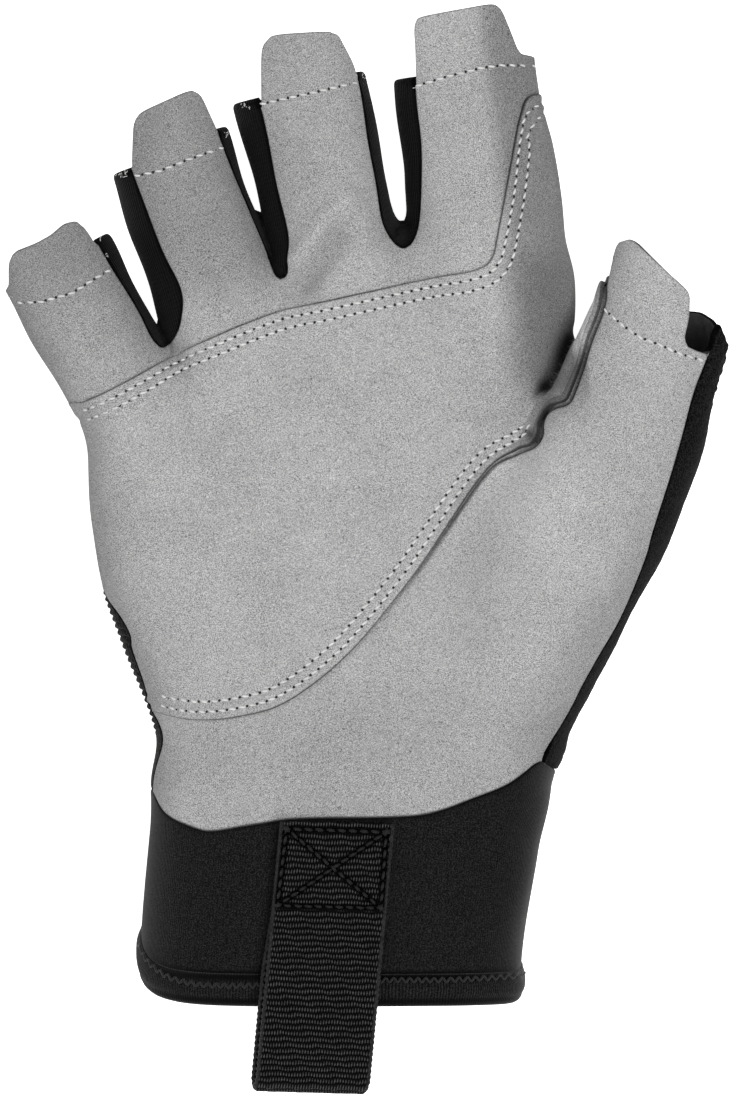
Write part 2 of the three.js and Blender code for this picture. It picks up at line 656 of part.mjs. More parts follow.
// One panel as a closed wall: its outer skin, its inner skin and the cut edge between them.
function panelGeometry(surface, normals, name) {
  const { thickness, proud } = CLOTH[name];
  const triangles = surface.triangles.filter((_, t) => surface.names[t] === name);
  const directed = new Set(triangles.flatMap(([a, b, c]) => [`${a} ${b}`, `${b} ${c}`, `${c} ${a}`]));
  // A vertex where two parts of a panel touch corner to corner becomes one vertex for each part.
  const fans = new Map();
  triangles.forEach((triangle, t) => {
    for (const v of triangle) {
      if (!fans.has(v)) fans.set(v, []);
      fans.get(v).push(t);
    }
  });
  const corners = new Map();
  const sources = [];
  for (const [v, around] of fans) {
    const left = new Set(around);
    while (left.size > 0) {
      const fan = [left.values().next().value];
      left.delete(fan[0]);
      for (let n = 0; n < fan.length; n += 1) {
        for (const t of [...left]) {
          const shared = triangles[t].filter((w) => w !== v && triangles[fan[n]].includes(w));
          if (shared.length === 0) continue;
          left.delete(t);
          fan.push(t);
        }
      }
      for (const t of fan) corners.set(`${t} ${v}`, sources.length);
      sources.push(v);
    }
  }
  const local = triangles.map((triangle, t) => triangle.map((v) => corners.get(`${t} ${v}`)));
  const rim = [];
  triangles.forEach((triangle, t) => {
    for (const e of [0, 1, 2]) {
      const [a, b] = [triangle[e], triangle[(e + 1) % 3]];
      if (!directed.has(`${b} ${a}`)) rim.push([local[t][e], local[t][(e + 1) % 3]]);
    }
  });
  const inset = sources.map(() => new THREE.Vector3());
  for (const [a, b] of rim) {
    const edge = surface.vertices[sources[b]].clone().sub(surface.vertices[sources[a]]).normalize();
    for (const v of [a, b]) inset[v].add(normals[sources[v]].clone().cross(edge).normalize());
  }
  const outer = [];
  const inner = [];
  sources.forEach((v, i) => {
    const place = surface.vertices[v].clone();
    if (inset[i].lengthSq() > 0) {
      const turn = Math.max(inset[i].length() / 2, 0.6);
      place.addScaledVector(inset[i].normalize(), SEAM_GAP / 2 / turn);
    }
    // An overlay stands proud on the palm side only, and runs level into the seams at its sides.
    const out = place.clone().addScaledVector(normals[v], proud * smoothStep([-0.1, 0.5], normals[v].z));
    if (out.z < REST_TOLERANCE) out.z = 0;
    outer.push(out);
    inner.push(place.clone().addScaledVector(normals[v], -thickness));
  });
  const total = sources.length;
  const index = [];
  for (const [a, b, c] of local) index.push(a, b, c, total + a, total + c, total + b);
  for (const [a, b] of rim) {
    // Both panels at a seam split its edge along the same diagonal, so the cut edges run side by side.
    const [innerA, innerB] = [total + a, total + b];
    if (sources[a] < sources[b]) index.push(a, innerA, innerB, a, innerB, b);
    else index.push(a, innerA, b, innerA, innerB, b);
  }
  const geometry = new THREE.BufferGeometry();
  const positions = [...outer, ...inner].flatMap((v) => v.toArray());
  geometry.setAttribute('position', new THREE.Float32BufferAttribute(positions, 3));
  geometry.setIndex(index);
  geometry.computeVertexNormals();
  return geometry;
}

// Webbing folded double: sewn flat on the cuff, then free past the hem as a narrow loop
const LOOP_LEAN = 5.4;
const LOOP_TOP = new THREE.Vector3(-5.4, -52.9, 0);
const LOOP_PATH = table(['along', 'under', 'opening'], [
  [0, 43.7, 0.25],
  [14, 43.8, 0.25],
  [22, 44.1, 0.4],
  [30, 44.6, 1.0],
  [36, 44.0, 1.6],
  [42, 43.0, 1.9],
  [47.5, 42.0, 1.4],
]);

function loopGeometry() {
  const t = WEBBING_THICKNESS;
  const end = LOOP_PATH[LOOP_PATH.length - 1];
  const fold = t + end.opening / 2;
  const lower = LOOP_PATH.map(({ along, under }) => new THREE.Vector2(along, under));
  const top = ({ along, under, opening }) => new THREE.Vector2(along, under + 2 * t + opening);
  const upper = LOOP_PATH.map(top);
  const free = LOOP_PATH.slice(2);
  const slotLow = free.map(({ along, under }) => new THREE.Vector2(along, under + t));
  const slotHigh = free.map(({ along, under, opening }) => new THREE.Vector2(along, under + t + opening));
  const middle = new THREE.Vector2(end.along, end.under + fold);
  const arc = (radius) => [1, 2, 3].map((n) => {
    const angle = (n * Math.PI) / 4 - Math.PI / 2;
    return new THREE.Vector2(middle.x + radius * Math.cos(angle), middle.y + radius * Math.sin(angle));
  });
  const shape = new THREE.Shape([...lower, ...arc(fold), ...upper.reverse()]);
  shape.holes.push(new THREE.Path([...slotLow, ...arc(end.opening / 2), ...slotHigh.reverse()]));
  const geometry = new THREE.ExtrudeGeometry(shape, { depth: WEBBING_WIDTH, bevelEnabled: false });
  geometry.translate(0, 0, -WEBBING_WIDTH / 2);
  // The profile's along axis becomes -Y, its height becomes +Z, and its depth runs across the cuff.
  geometry.applyMatrix4(new THREE.Matrix4().set(0, 0, -1, 0, -1, 0, 0, 0, 0, 1, 0, 0, 0, 0, 0, 1));
  return geometry;
}

// Assembly
const glove = new THREE.Group();
const surface = cutIntoPanels(coarsen(meshForm()));
joinIslands(surface);
const normals = vertexNormals(surface);
for (const [name, { color, roughness }] of Object.entries(CLOTH)) {
  const material = new THREE.MeshStandardMaterial({ color, roughness, metalness: 0 });
  const panel = new THREE.Mesh(panelGeometry(surface, normals, name), material);
  panel.name = name;
  glove.add(panel);
}
const webbing = new THREE.MeshStandardMaterial({ color: 0x121212, roughness: 0.7, metalness: 0 });
const loop = new THREE.Mesh(loopGeometry(), webbing);
loop.name = 'pull_loop';
loop.position.copy(LOOP_TOP);
loop.rotation.z = THREE.MathUtils.degToRad(-LOOP_LEAN);
glove.add(loop);

export default glove;
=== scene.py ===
"""Looks of a half-finger climbing glove for the right hand, lying on its back with the palm up.

The form is worked out in millimetres, +X to the thumb side, +Y to the fingertips and +Z up out of the
palm, and every mesh is made in metres. One smooth skin is meshed finely, cut along the seam lines and made
into walls of cloth. Stitches, webbing and loose fibres are added on top.
"""

import json
import logging
import math
from dataclasses import dataclass
from enum import Enum, IntEnum

import bpy
import numpy as np
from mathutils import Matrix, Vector
from mathutils.kdtree import KDTree

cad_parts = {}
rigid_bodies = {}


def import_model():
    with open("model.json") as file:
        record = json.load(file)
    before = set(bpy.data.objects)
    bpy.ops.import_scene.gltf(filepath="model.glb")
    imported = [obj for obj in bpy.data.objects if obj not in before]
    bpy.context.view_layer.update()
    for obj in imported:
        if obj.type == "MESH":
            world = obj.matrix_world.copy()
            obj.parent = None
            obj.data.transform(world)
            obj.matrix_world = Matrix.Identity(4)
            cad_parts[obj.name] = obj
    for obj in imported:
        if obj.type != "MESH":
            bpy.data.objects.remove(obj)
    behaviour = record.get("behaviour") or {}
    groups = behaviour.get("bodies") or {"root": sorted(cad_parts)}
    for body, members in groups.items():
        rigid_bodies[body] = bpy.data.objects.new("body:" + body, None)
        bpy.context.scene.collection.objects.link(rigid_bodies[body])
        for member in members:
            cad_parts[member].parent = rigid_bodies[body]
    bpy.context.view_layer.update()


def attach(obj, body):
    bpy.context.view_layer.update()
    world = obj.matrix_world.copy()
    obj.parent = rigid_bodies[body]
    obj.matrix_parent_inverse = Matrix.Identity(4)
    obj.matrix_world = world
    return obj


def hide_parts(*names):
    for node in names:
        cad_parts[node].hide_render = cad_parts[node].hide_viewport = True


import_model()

MM = 0.001
BODY = "root"
Array = np.ndarray
log = logging.getLogger("glove")

# Driving sizes in millimetres
CELL = 0.9
GRID_LOW = (-74.0, -96.0, -5.0)
GRID_HIGH = (76.0, 112.0, 51.0)
HEM_HEIGHT = 6.1
WEB_RADIUS = 4.0
FINGER_BLEND = 1.0
THUMB_CROTCH_BLEND = 3.0
THENAR_BLEND = 14.0
KNUCKLE_ROUNDING = 13.0
END_ROUNDING = 4.0
LAP = 3.2
ROW_OFFSETS = (1.6, 3.5)
RAW_EDGE = 0.3
PATCH_PROUD = 1.0
STITCH_PITCH = 1.9
THUMB_DIP = 3.4

# Hand and cuff: station along -Y, left, right, low, high
HAND_SECTIONS = (
    (98, -43.5, 29.0, -1.6, 43.0), (86, -43.2, 29.3, -1.6, 43.0), (76, -42.8, 30.0, -1.6, 43.4),
    (64, -41.8, 31.8, -1.6, 43.4), (52, -41.0, 33.3, -1.6, 43.0), (44, -40.8, 33.6, -1.4, 42.4),
    (36, -39.8, 31.6, -1.4, 41.4), (28, -42.0, 31.0, -1.4, 40.0), (18, -46.3, 31.0, -1.4, 38.0),
    (8, -50.2, 32.0, -1.4, 36.0), (-4, -52.0, 33.0, -1.4, 34.0), (-16, -53.2, 35.0, -1.4, 32.8),
    (-28, -53.4, 38.3, -1.4, 31.4), (-42, -52.0, 39.6, -1.2, 30.0), (-56, -50.0, 38.4, -1.0, 29.0),
    (-72, -48.0, 37.0, -1.0, 28.0),
)

# Fingers: station from the opening towards the palm, left, right, low, high
FINGER_SECTIONS = {
    "little": ((-20, -11.0, 10.2, 11.5, 28.6), (0, -11.2, 11.1, 8.0, 28.0), (10, -12.1, 10.6, 5.0, 28.4),
               (20, -11.8, 10.2, 2.1, 28.6), (34, -11.6, 10.4, -1.0, 28.0), (50, -8.0, 8.0, 3.0, 22.0)),
    "ring": ((-20, -11.6, 11.0, 7.5, 28.0), (0, -12.3, 11.5, 5.0, 28.0), (10, -12.4, 11.4, 3.2, 29.0),
             (22, -12.1, 12.5, 1.0, 30.4), (34, -12.4, 12.5, -1.2, 30.6), (54, -8.0, 8.0, 3.0, 23.0)),
    "middle": ((-20, -12.9, 12.6, 6.0, 27.0), (0, -12.8, 13.0, 4.0, 27.4), (12, -12.3, 12.7, 2.4, 29.2),
               (24, -12.6, 12.4, 0.6, 31.0), (38, -12.4, 12.5, -1.2, 31.4), (58, -8.0, 8.0, 3.0, 24.0)),
    "index": ((-20, -13.2, 13.4, 5.0, 25.6), (0, -13.5, 13.7, 3.6, 26.6), (8, -13.5, 13.9, 2.6, 27.9),
              (14, -13.8, 14.9, 1.8, 29.0), (20, -14.2, 15.4, 1.0, 30.0), (28, -14.1, 15.2, 0.0, 31.0),
              (34, -14.0, 14.1, -0.6, 31.3), (40, -14.0, 13.7, -1.2, 31.6), (62, -9.0, 9.0, 3.0, 24.0)),
    "thumb": ((-20, -13.6, 12.0, 16.0, 36.5), (0, -14.2, 12.7, 12.0, 36.5), (10, -14.7, 13.6, 9.5, 38.0),
              (20, -16.0, 15.1, 7.0, 40.0), (32, -17.4, 15.5, 3.0, 42.6), (44, -19.0, 14.7, 0.0, 44.2),
              (56, -20.0, 12.9, -1.4, 44.2), (62, -19.5, 12.2, -1.4, 43.9), (68, -19.0, 11.3, -1.4, 43.4),
              (72, -18.6, 10.7, -1.4, 43.1), (76, -18.0, 9.6, -1.4, 42.6),
              (82, -16.0, 7.8, -1.4, 41.0), (90, -13.0, 5.0, 2.0, 36.0)),
}

# Fingers: where each opening is, how far the finger leans, and how square its section is
FINGER_AXES = {
    "little": ((-58.4, 54.2), -30.7, 2.25),
    "ring": ((-36.8, 75.0), -18.5, 2.25),
    "middle": ((-12.2, 85.6), -13.3, 2.25),
    "index": ((19.0, 89.3), -7.0, 2.25),
    "thumb": ((56.9, 43.5), 20.0, 2.3),
}

# Where the hand ends in the crotches of the fingers: x, y
KNUCKLE_LINE = ((-70, 24), (-52, 28.5), (-39, 35.4), (-17, 55.0), (7, 61.5), (24, 63), (50, 62))

# Seam lines seen from above
PATCH_UPPER_EDGE = (
    (-53.9, 28.1), (-47.6, 30.8), (-33.2, 38.4), (-18.3, 44.6), (-5.2, 47.7), (12.3, 51.5), (19.3, 52.6),
    (23.6, 54.6), (25.2, 60.8), (28.0, 76.6), (29.0, 81.9), (30.4, 85.9), (33.9, 86.8),
)
PATCH_LOWER_EDGE = (
    (46.2, 55.0), (45.1, 50.7), (44.9, 47.5), (44.2, 44.3), (42.3, 39.3), (40.6, 34.2), (38.9, 29.5),
    (37.9, 28.0), (35.5, 27.2), (34.0, 26.0), (33.2, 24.1), (33.0, 22.0), (31.6, 20.0), (28.5, 18.6),
    (23.2, 15.3), (15.1, 3.8), (8.3, -5.9), (-2.9, -19.4), (-14.3, -28.5), (-23.5, -31.5),
    (-32.0, -32.2), (-40.2, -30.8),
)
PATCH_RIGHT_CLOSE = ((40, 95), (45.5, 84), (45.5, 54))
PATCH_LEFT_CLOSE = ((-70, -30.8), (-70, 28.1))
THUMB_SIDE_SEAM = (
    (69.6, 50.0), (65.0, 36.6), (62.7, 30.9), (61.3, 26.6), (59.7, 20.4), (57.9, 13.8), (54.6, 3.3),
    (53.1, -1.9), (48.4, -12.7), (44.3, -20.4), (41.0, -26.1), (39.4, -29.0), (36.3, -34.2), (34.4, -37.5),
    (33.7, -39.4), (32.2, -46.0),
)
HEEL_EDGE = (
    (-80, -43.0), (-42.0, -43.0), (-40.4, -46.4), (-38.0, -50.0), (-33.2, -52.4), (-29.7, -53.2),
    (-22.9, -52.2), (-13.6, -50.9), (5.0, -50.5), (12.3, -49.8), (21.2, -46.9), (26.7, -44.6), (30.3, -42.2),
    (32.0, -40.8), (33.6, -40.2), (35.0, -40.9), (37.0, -42.0), (40.0, -42.2), (80, -42.2),
)
FOURCHETTES = {
    "fourchette_little_ring": (
        (-55.0, 65.5), (-50.9, 58.7), (-47.9, 53.2), (-44.5, 48.2), (-42.5, 45.0), (-40.7, 41.3),
        (-39.6, 39.6), (-38.4, 38.9), (-36.6, 40.5), (-35.4, 43.7), (-35.3, 49.3), (-38.9, 57.5),
        (-44.2, 70.9), (-47.5, 81.0)),
    "fourchette_ring_middle": (
        (-30.0, 86.0), (-27.1, 77.0), (-22.9, 66.3), (-19.4, 58.4), (-16.6, 51.7), (-14.4, 55.6),
        (-16.8, 68.2), (-20.2, 84.2), (-23.0, 96.0)),
    "fourchette_middle_index": (
        (-3.0, 100.0), (-1.2, 88.2), (1.4, 73.9), (3.6, 62.0), (7.3, 57.6), (10.2, 62.7), (10.4, 75.4),
        (9.6, 86.0), (8.4, 100.0)),
}

# Tabs: distance past the opening, and across the finger
TABS = {
    "little": ((-4, -20), (0.2, -20), (1.0, -10.4), (5.0, -8.1), (6.3, -6.2), (5.6, -1.6), (5.5, 1.8),
               (6.1, 5.2), (5.4, 7.4), (3.2, 8.2), (-4, 8.4)),
    "ring": ((-4, -8.4), (0, -8.2), (8.2, -5.0), (9.6, -3.0), (10.7, 7.6), (9.2, 9.2), (0, 9.9), (-4, 9.9)),
    "middle": ((-4, -8.2), (0, -8.0), (11.4, -5.2), (13.2, -2.6), (11.2, 9.6), (4.6, 11.3), (-4, 11.3)),
    "index": ((-4, -9.4), (0, -9.4), (11.2, -8.7), (12.8, -7.8), (13.1, -6.2), (13.8, 6.0), (13.6, 7.4),
              (12.4, 8.5), (3.9, 11.0), (3.0, 14.0), (0.6, 15), (0.6, 20), (-4, 20)),
    "thumb": ((-4, -20), (3, -20), (4.2, -13.4), (10.9, -13.5), (12.4, -11.4), (9.2, -4.2), (6.5, 2.6),
              (2.0, 4.1), (-1.8, 4.5), (-3.2, 5.4), (-3.4, 7.4), (-3.0, 20), (-6, 20), (-6, -20)),
}

# How far the black ends stand past each opening, on the finger's left and right
BLACK_ENDS = {
    "little": (0, 0.6), "ring": (0.3, 2.2), "middle": (2.3, 2.8), "index": (1.9, 0), "thumb": (0, 0),
}

# How high the seam between palm and back runs, in shares of the half height: on the fingers, and on the
# hand as y and share
FINGER_PARTING = -0.42
HAND_PARTING = (
    (-60, 0.15), (-47, 0.2), (-41, 0.26), (-36, 0.37), (-33, 0.36), (-30.5, 0.28), (-28.5, 0.24),
    (-26, 0.33), (-22, 0.38), (-18.5, 0.41), (-16, 0.47), (-12.5, 0.38), (-9, 0.15), (-6, -0.1),
    (-2, -0.25), (6, -0.36), (18, -0.42), (60, -0.42),
)

# Stitch rows across the openings: distance past the opening, and across the finger
OPENING_ROWS = {
    "little": ((-2.4, -9.9), (-4.4, -6.4), (-6.1, -0.3), (-5.9, 4.0), (-5.9, 7.5)),
    "ring": ((-1.6, -7.5), (-2.2, -2.9), (-1.8, 3.7), (-1.7, 9.3)),
    "middle": ((0.9, -7.4), (0.8, -2.2), (0.7, 3.0), (0.7, 10.5)),
    "index": ((0.1, -8.8), (1.1, -3.0), (1.9, 3.6), (1.9, 7.6), (1.2, 13.3)),
    "thumb": ((-2.1, -11.4), (-3.4, -8.3), (-4.7, -4.0), (-4.8, 0.1), (-5.1, 4.3), (-4.8, 8.8)),
}

# How far the black rim of the thumb's opening reaches past it, and across the thumb
THUMB_RIM = (
    (1, 3.3), (3.6, 3.6), (5.6, 4.1), (7.6, 4.0), (9.6, 3.2), (11.2, 1.9), (12.4, 0.3), (14, -2.4),
)

# Where the patch ends past the thumb's opening: across the thumb, distance past it
PATCH_TIP = ((-18, 0.0), (-14.6, 1.2), (-14.0, 2.6), (-13.0, 3.5), (-11.0, 3.9), (-8.0, 3.9))

# Loose fibres, seen from above: x, y
FIBRES = (
    (-46.4, 71.4), (-45.5, 71.7), (-22.9, 84.4), (-22.0, 84.0), (-26.9, 78.7), (-0.7, 89.6), (-51.0, 59.3),
    (-49.4, 55.6), (-67.2, 48.2), (9.9, 87.9),
)

# Where the patch's rows of stitches turn across the index finger, row by row
ROW_ENDS = (
    ((29.4, 81.7), (30.3, 83.1), (31.3, 83.9), (32.3, 84.6), (33.3, 85.1)),
    ((30.1, 77.9), (30.9, 80.0), (31.6, 81.3), (32.5, 82.3), (33.5, 83.1)),
)

# The coverstitch along the hem's upper edge
HEM_LINE = (
    (-42.2, -74.8), (-40.9, -77.4), (-38.6, -79.6), (-36.0, -81.0), (-33.0, -81.8), (-29.5, -82.2),
    (-20.8, -82.2), (2.8, -81.2), (14.0, -81.2), (29.2, -80.6),
)


def smooth_min(a: Array, b: Array, radius: float | Array) -> Array:
    """Returns the smaller of two distances, rounded within a radius of where they are equal."""
    share = np.maximum(radius - np.abs(a - b), 0) / radius
    return np.minimum(a, b) - share * share * radius * 0.25


def smooth_max(a: Array, b: Array, radius: float | Array) -> Array:
    """Returns the larger of two distances, rounded within a radius of where they are equal."""
    return -smooth_min(-a, -b, radius)


def smooth_step(start: float, end: float, value: Array) -> Array:
    """Returns 0 at start and 1 at end, on a smooth curve between them."""
    t = np.clip((value - start) / (end - start), 0, 1)
    return t * t * (3 - 2 * t)


def bell(away: Array, width: float | Array) -> Array:
    """Returns 1 where a distance is 0, and less and less over a width beside it."""
    return np.exp(-(away / width) ** 2)


def unit(vectors: Array) -> Array:
    """Returns each row at length 1."""
    return vectors / np.maximum(np.linalg.norm(vectors, axis=1, keepdims=True), 1e-9)


def sides_of(triangles: Array) -> Array:
    """Returns the two ends of each triangle's sides ab, bc and ca, one row each."""
    return np.stack([triangles, np.roll(triangles, -1, 1)], 2).reshape(-1, 2)


def lengths_along(line: Array) -> Array:
    """Returns how far along a line each of its points is."""
    return np.concatenate([[0], np.cumsum(np.linalg.norm(np.diff(line, axis=0), axis=1))])


def spline(line: tuple, per_span: int = 5) -> Array:
    """Returns points on a smooth open curve through a line's corners.

    Args:
        line: The corners, two numbers each.
        per_span: How many steps there are between two corners.

    Returns:
        The points, one row each.
    """
    p = np.array(line, float)
    p = np.vstack([2 * p[0] - p[1], p, 2 * p[-1] - p[-2]])
    t = np.arange(per_span)[:, None] / per_span
    spans = [0.5 * (2 * b + (c - a) * t + (2 * a - 5 * b + 4 * c - d) * t ** 2
                    + (3 * b - a - 3 * c + d) * t ** 3) for a, b, c, d in zip(p, p[1:], p[2:], p[3:])]
    return np.vstack([*spans, p[-2:-1]])


def rounded(outline: tuple, rounds: int = 2) -> Array:
    """Returns a closed outline with its corners cut back a few times.

    Args:
        outline: The outline's corners.
        rounds: How many times they are cut back.

    Returns:
        The points, one row each.
    """
    kept, taken = 0.87, 0.13
    points = np.array(outline, float)
    for _ in range(rounds):
        after = np.roll(points, -1, axis=0)
        points = np.stack([points * kept + after * taken, points * taken + after * kept], 1).reshape(-1, 2)
    return points


def inside(outline: Array, xy: Array) -> Array:
    """Returns which points lie inside an outline.

    Args:
        outline: The outline's corners, one row each.
        xy: The points, one row each.

    Returns:
        True for each point inside.
    """
    odd = np.zeros(len(xy), bool)
    x, y = xy[:, 0], xy[:, 1]
    for (ax, ay), (bx, by) in zip(outline, np.roll(outline, 1, axis=0)):
        if ay == by:
            continue
        odd ^= ((ay > y) != (by > y)) & (x < ax + (bx - ax) * (y - ay) / (by - ay))
    return odd


def distance_to_line(line: Array, xy: Array) -> Array:
    """Returns how far each point is from an open line, seen from above.

    Args:
        line: The line's corners, one row each.
        xy: The points, one row each.

    Returns:
        The distance of each point.
    """
    best = np.full(len(xy), np.inf)
    x, y = xy[:, 0], xy[:, 1]
    for (ax, ay), (bx, by) in zip(line, line[1:]):
        ux, uy = bx - ax, by - ay
        dx, dy = x - ax, y - ay
        t = np.clip((dx * ux + dy * uy) / max(ux * ux + uy * uy, 1e-9), 0, 1)
        best = np.minimum(best, (dx - t * ux) ** 2 + (dy - t * uy) ** 2)
    return np.sqrt(best)


class Profile:
    """Values at named stations, with a smooth curve through them."""

    STEP = 0.1

    def __init__(self, rows: tuple) -> None:
        """Lays the curve.

        Args:
            rows: A station and its values in each row.
        """
        data = np.array(sorted(rows), float)
        key, value = data[:, 0], data[:, 1:]
        count = int((key[-1] - key[0]) / self.STEP) + 1
        self.keys = np.linspace(key[0], key[-1], count)
        i = np.clip(np.searchsorted(key, self.keys) - 1, 0, len(key) - 2)
        width = (key[i + 1] - key[i])[:, None]
        t = (self.keys - key[i])[:, None] / width
        last = len(key) - 1

        def slope(a: Array, b: Array) -> Array:
            """Returns the rise from station a to station b over this span."""
            return (value[b] - value[a]) / (key[b] - key[a])[:, None] * width

        m0, m1 = slope(np.maximum(i - 1, 0), i + 1), slope(i, np.minimum(i + 2, last))
        a, b = value[i], value[i + 1]
        self.columns = (a + t * (m0 + t * (3 * (b - a) - 2 * m0 - m1 + t * (m0 + m1 - 2 * (b - a))))).T

    def at(self, where: Array) -> list[Array]:
        """Returns each column at the given stations."""
        return [np.interp(where, self.keys, column) for column in self.columns]


class Tube:
    """A tube with a straight axis seen from above, and a rounded-box section that changes along it."""

    # How many points its mean section is measured at, all the way round
    TURNS = 361

    def __init__(self, tip: tuple, lean: float, power: float, sections: tuple) -> None:
        """Places the tube.

        Args:
            tip: Where its station 0 is, seen from above.
            lean: How many degrees its axis leans from +Y.
            power: How square its section is.
            sections: Rows of station, left, right, low and high.
        """
        angle = math.radians(lean)
        self.tip = np.array(tip, float)
        self.along = np.array([-math.sin(angle), -math.cos(angle)])
        self.across = np.array([math.cos(angle), -math.sin(angle)])
        self.power = power
        self.profile = Profile(sections)

    def measure(self, p: Array) -> dict[str, Array]:
        """Returns where points lie in the tube.

        Args:
            p: The points.

        Returns:
            The station, the side, the section's middle and half height there, and the distance.
        """
        offset = p[:, :2] - self.tip
        station, side = offset @ self.along, offset @ self.across
        left, right, low, high = self.profile.at(station)
        half_width, half_height, middle = (right - left) / 2, (high - low) / 2, (high + low) / 2
        u = np.abs(side - (left + right) / 2) / half_width
        v = np.abs(p[:, 2] - middle) / half_height
        n = self.power
        radius = np.maximum((u ** n + v ** n) ** (1 / n), 1e-6)
        steep = np.hypot(u ** (n - 1) / half_width, v ** (n - 1) / half_height) * radius ** (1 - n)
        wall = (radius - 1) / np.maximum(steep, 1 / np.maximum(half_width, half_height))
        ends = np.maximum(self.profile.keys[0] - station, station - self.profile.keys[-1])
        return {"station": station, "side": side, "middle": middle, "half_height": half_height,
                "distance": smooth_max(wall, ends, END_ROUNDING)}

    def around(self, p: Array, measured: dict[str, Array]) -> Array:
        """Returns how far round the section each point lies.

        Args:
            p: The points.
            measured: What measure returned for them.

        Returns:
            The length round the tube's mean section.
        """
        left, right, low, high = (column.mean() for column in self.profile.columns)
        turns = np.linspace(-math.pi, math.pi, self.TURNS)
        x, y, n = np.cos(turns) / (right - left) * 2, np.sin(turns) / (high - low) * 2, self.power
        reach = (np.abs(x) ** n + np.abs(y) ** n) ** (-1 / n)
        lengths = lengths_along(np.column_stack([reach * np.cos(turns), reach * np.sin(turns)]))
        left, right, _, _ = self.profile.at(measured["station"])
        angle = np.arctan2(p[:, 2] - measured["middle"], measured["side"] - (left + right) / 2)
        return np.interp(angle, turns, lengths)

    def place(self, past: float | Array, side: float | Array) -> Array:
        """Returns the places seen from above of distances past the opening and across the finger."""
        return self.tip - np.multiply.outer(past, self.along) + np.multiply.outer(side, self.across)


class GloveForm:
    """The glove's outer surface as a signed distance in millimetres, below 0 inside."""

    # Over which y the thumb's blend with the hand changes from the thenar's to the crotch's
    BLEND_SPAN = (4, 27)
    HAND_SQUARENESS = 2.5
    # How far on each side of a point the slope is measured
    SLOPE_STEP = 0.05
    # A height above the whole form, and in how many halvings its top is found
    CEILING = 60.0
    HALVINGS = 12

    def __init__(self) -> None:
        """Makes the hand, the fingers and the thumb."""
        self.tubes = {"hand": Tube((0, 0), 0, self.HAND_SQUARENESS, HAND_SECTIONS)}
        for name, (tip, lean, power) in FINGER_AXES.items():
            self.tubes[name] = Tube(tip, lean, power, FINGER_SECTIONS[name])
        self.knuckles = Profile(KNUCKLE_LINE)

    def survey(self, p: Array) -> tuple[dict[str, dict[str, Array]], Array]:
        """Measures points in every tube.

        Args:
            p: The points.

        Returns:
            What each tube measures, by name, and the distance from the whole form.
        """
        measured = {name: tube.measure(p) for name, tube in self.tubes.items()}
        hand = measured["hand"]
        hand["distance"] = smooth_max(
            hand["distance"], p[:, 1] - self.knuckles.at(p[:, 0])[0], KNUCKLE_ROUNDING)
        fingers = measured["little"]["distance"]
        for name in ("ring", "middle", "index"):
            fingers = smooth_min(fingers, measured[name]["distance"], FINGER_BLEND)
        towards_crotch = smooth_step(*self.BLEND_SPAN, p[:, 1])
        blend = THENAR_BLEND + (THUMB_CROTCH_BLEND - THENAR_BLEND) * towards_crotch
        whole = smooth_min(hand["distance"], fingers, WEB_RADIUS)
        whole = smooth_min(whole, measured["thumb"]["distance"], blend)
        return measured, np.maximum(whole, -p[:, 2])

    def distance(self, p: Array) -> Array:
        """Returns the distance of each point from the surface."""
        return self.survey(p)[1]

    def gradient(self, p: Array) -> Array:
        """Returns the distance's slope at each point."""
        steps = np.eye(3) * self.SLOPE_STEP
        slope = [self.distance(p + step) - self.distance(p - step) for step in steps]
        return np.stack(slope, axis=1) / (2 * self.SLOPE_STEP)

    def onto(self, p: Array, steps: int = 3) -> Array:
        """Returns the points moved onto the surface.

        Args:
            p: The points.
            steps: How often each is moved by its distance.

        Returns:
            The moved points.
        """
        for _ in range(steps):
            g = self.gradient(p)
            p = p - g * (self.distance(p) / np.maximum((g * g).sum(1), 0.05))[:, None]
        return p

    def top(self, xy: Array) -> Array:
        """Returns the surface's highest point at each place seen from above.

        Args:
            xy: The places, one row each.

        Returns:
            The points, at height 0 where there is no surface.
        """
        found = np.full(len(xy), np.nan)
        for z in np.arange(self.CEILING, -1.0, -1.0):
            here = self.distance(np.column_stack([xy, np.full(len(xy), z)]))
            found = np.where(np.isnan(found) & (here <= 0), z, found)
        low = np.nan_to_num(found, nan=0.0)
        high = low + 1.0
        for _ in range(self.HALVINGS):
            middle = (low + high) / 2
            solid = self.distance(np.column_stack([xy, middle])) <= 0
            low, high = np.where(solid, middle, low), np.where(solid, high, middle)
        return np.column_stack([xy, low])


class Held(Enum):
    """How a sheet of cloth is held in its shape."""

    STRETCHED = "stretched"
    FOLDED = "folded"


class Panel(IntEnum):
    """The panel that a point of the skin belongs to. The laps lie under the palm patch's edges."""

    OPEN = 0
    FINGER_PANEL = 1
    THUMB_PANEL = 2
    PALM_PATCH = 3
    LAP_UPPER = 4
    LAP_LOWER = 5
    FOURCHETTE_LITTLE_RING = 6
    FOURCHETTE_RING_MIDDLE = 7
    FOURCHETTE_MIDDLE_INDEX = 8
    BACK_PANEL = 9
    THUMB_BACK = 10
    CUFF = 11
    CUFF_HEM = 12


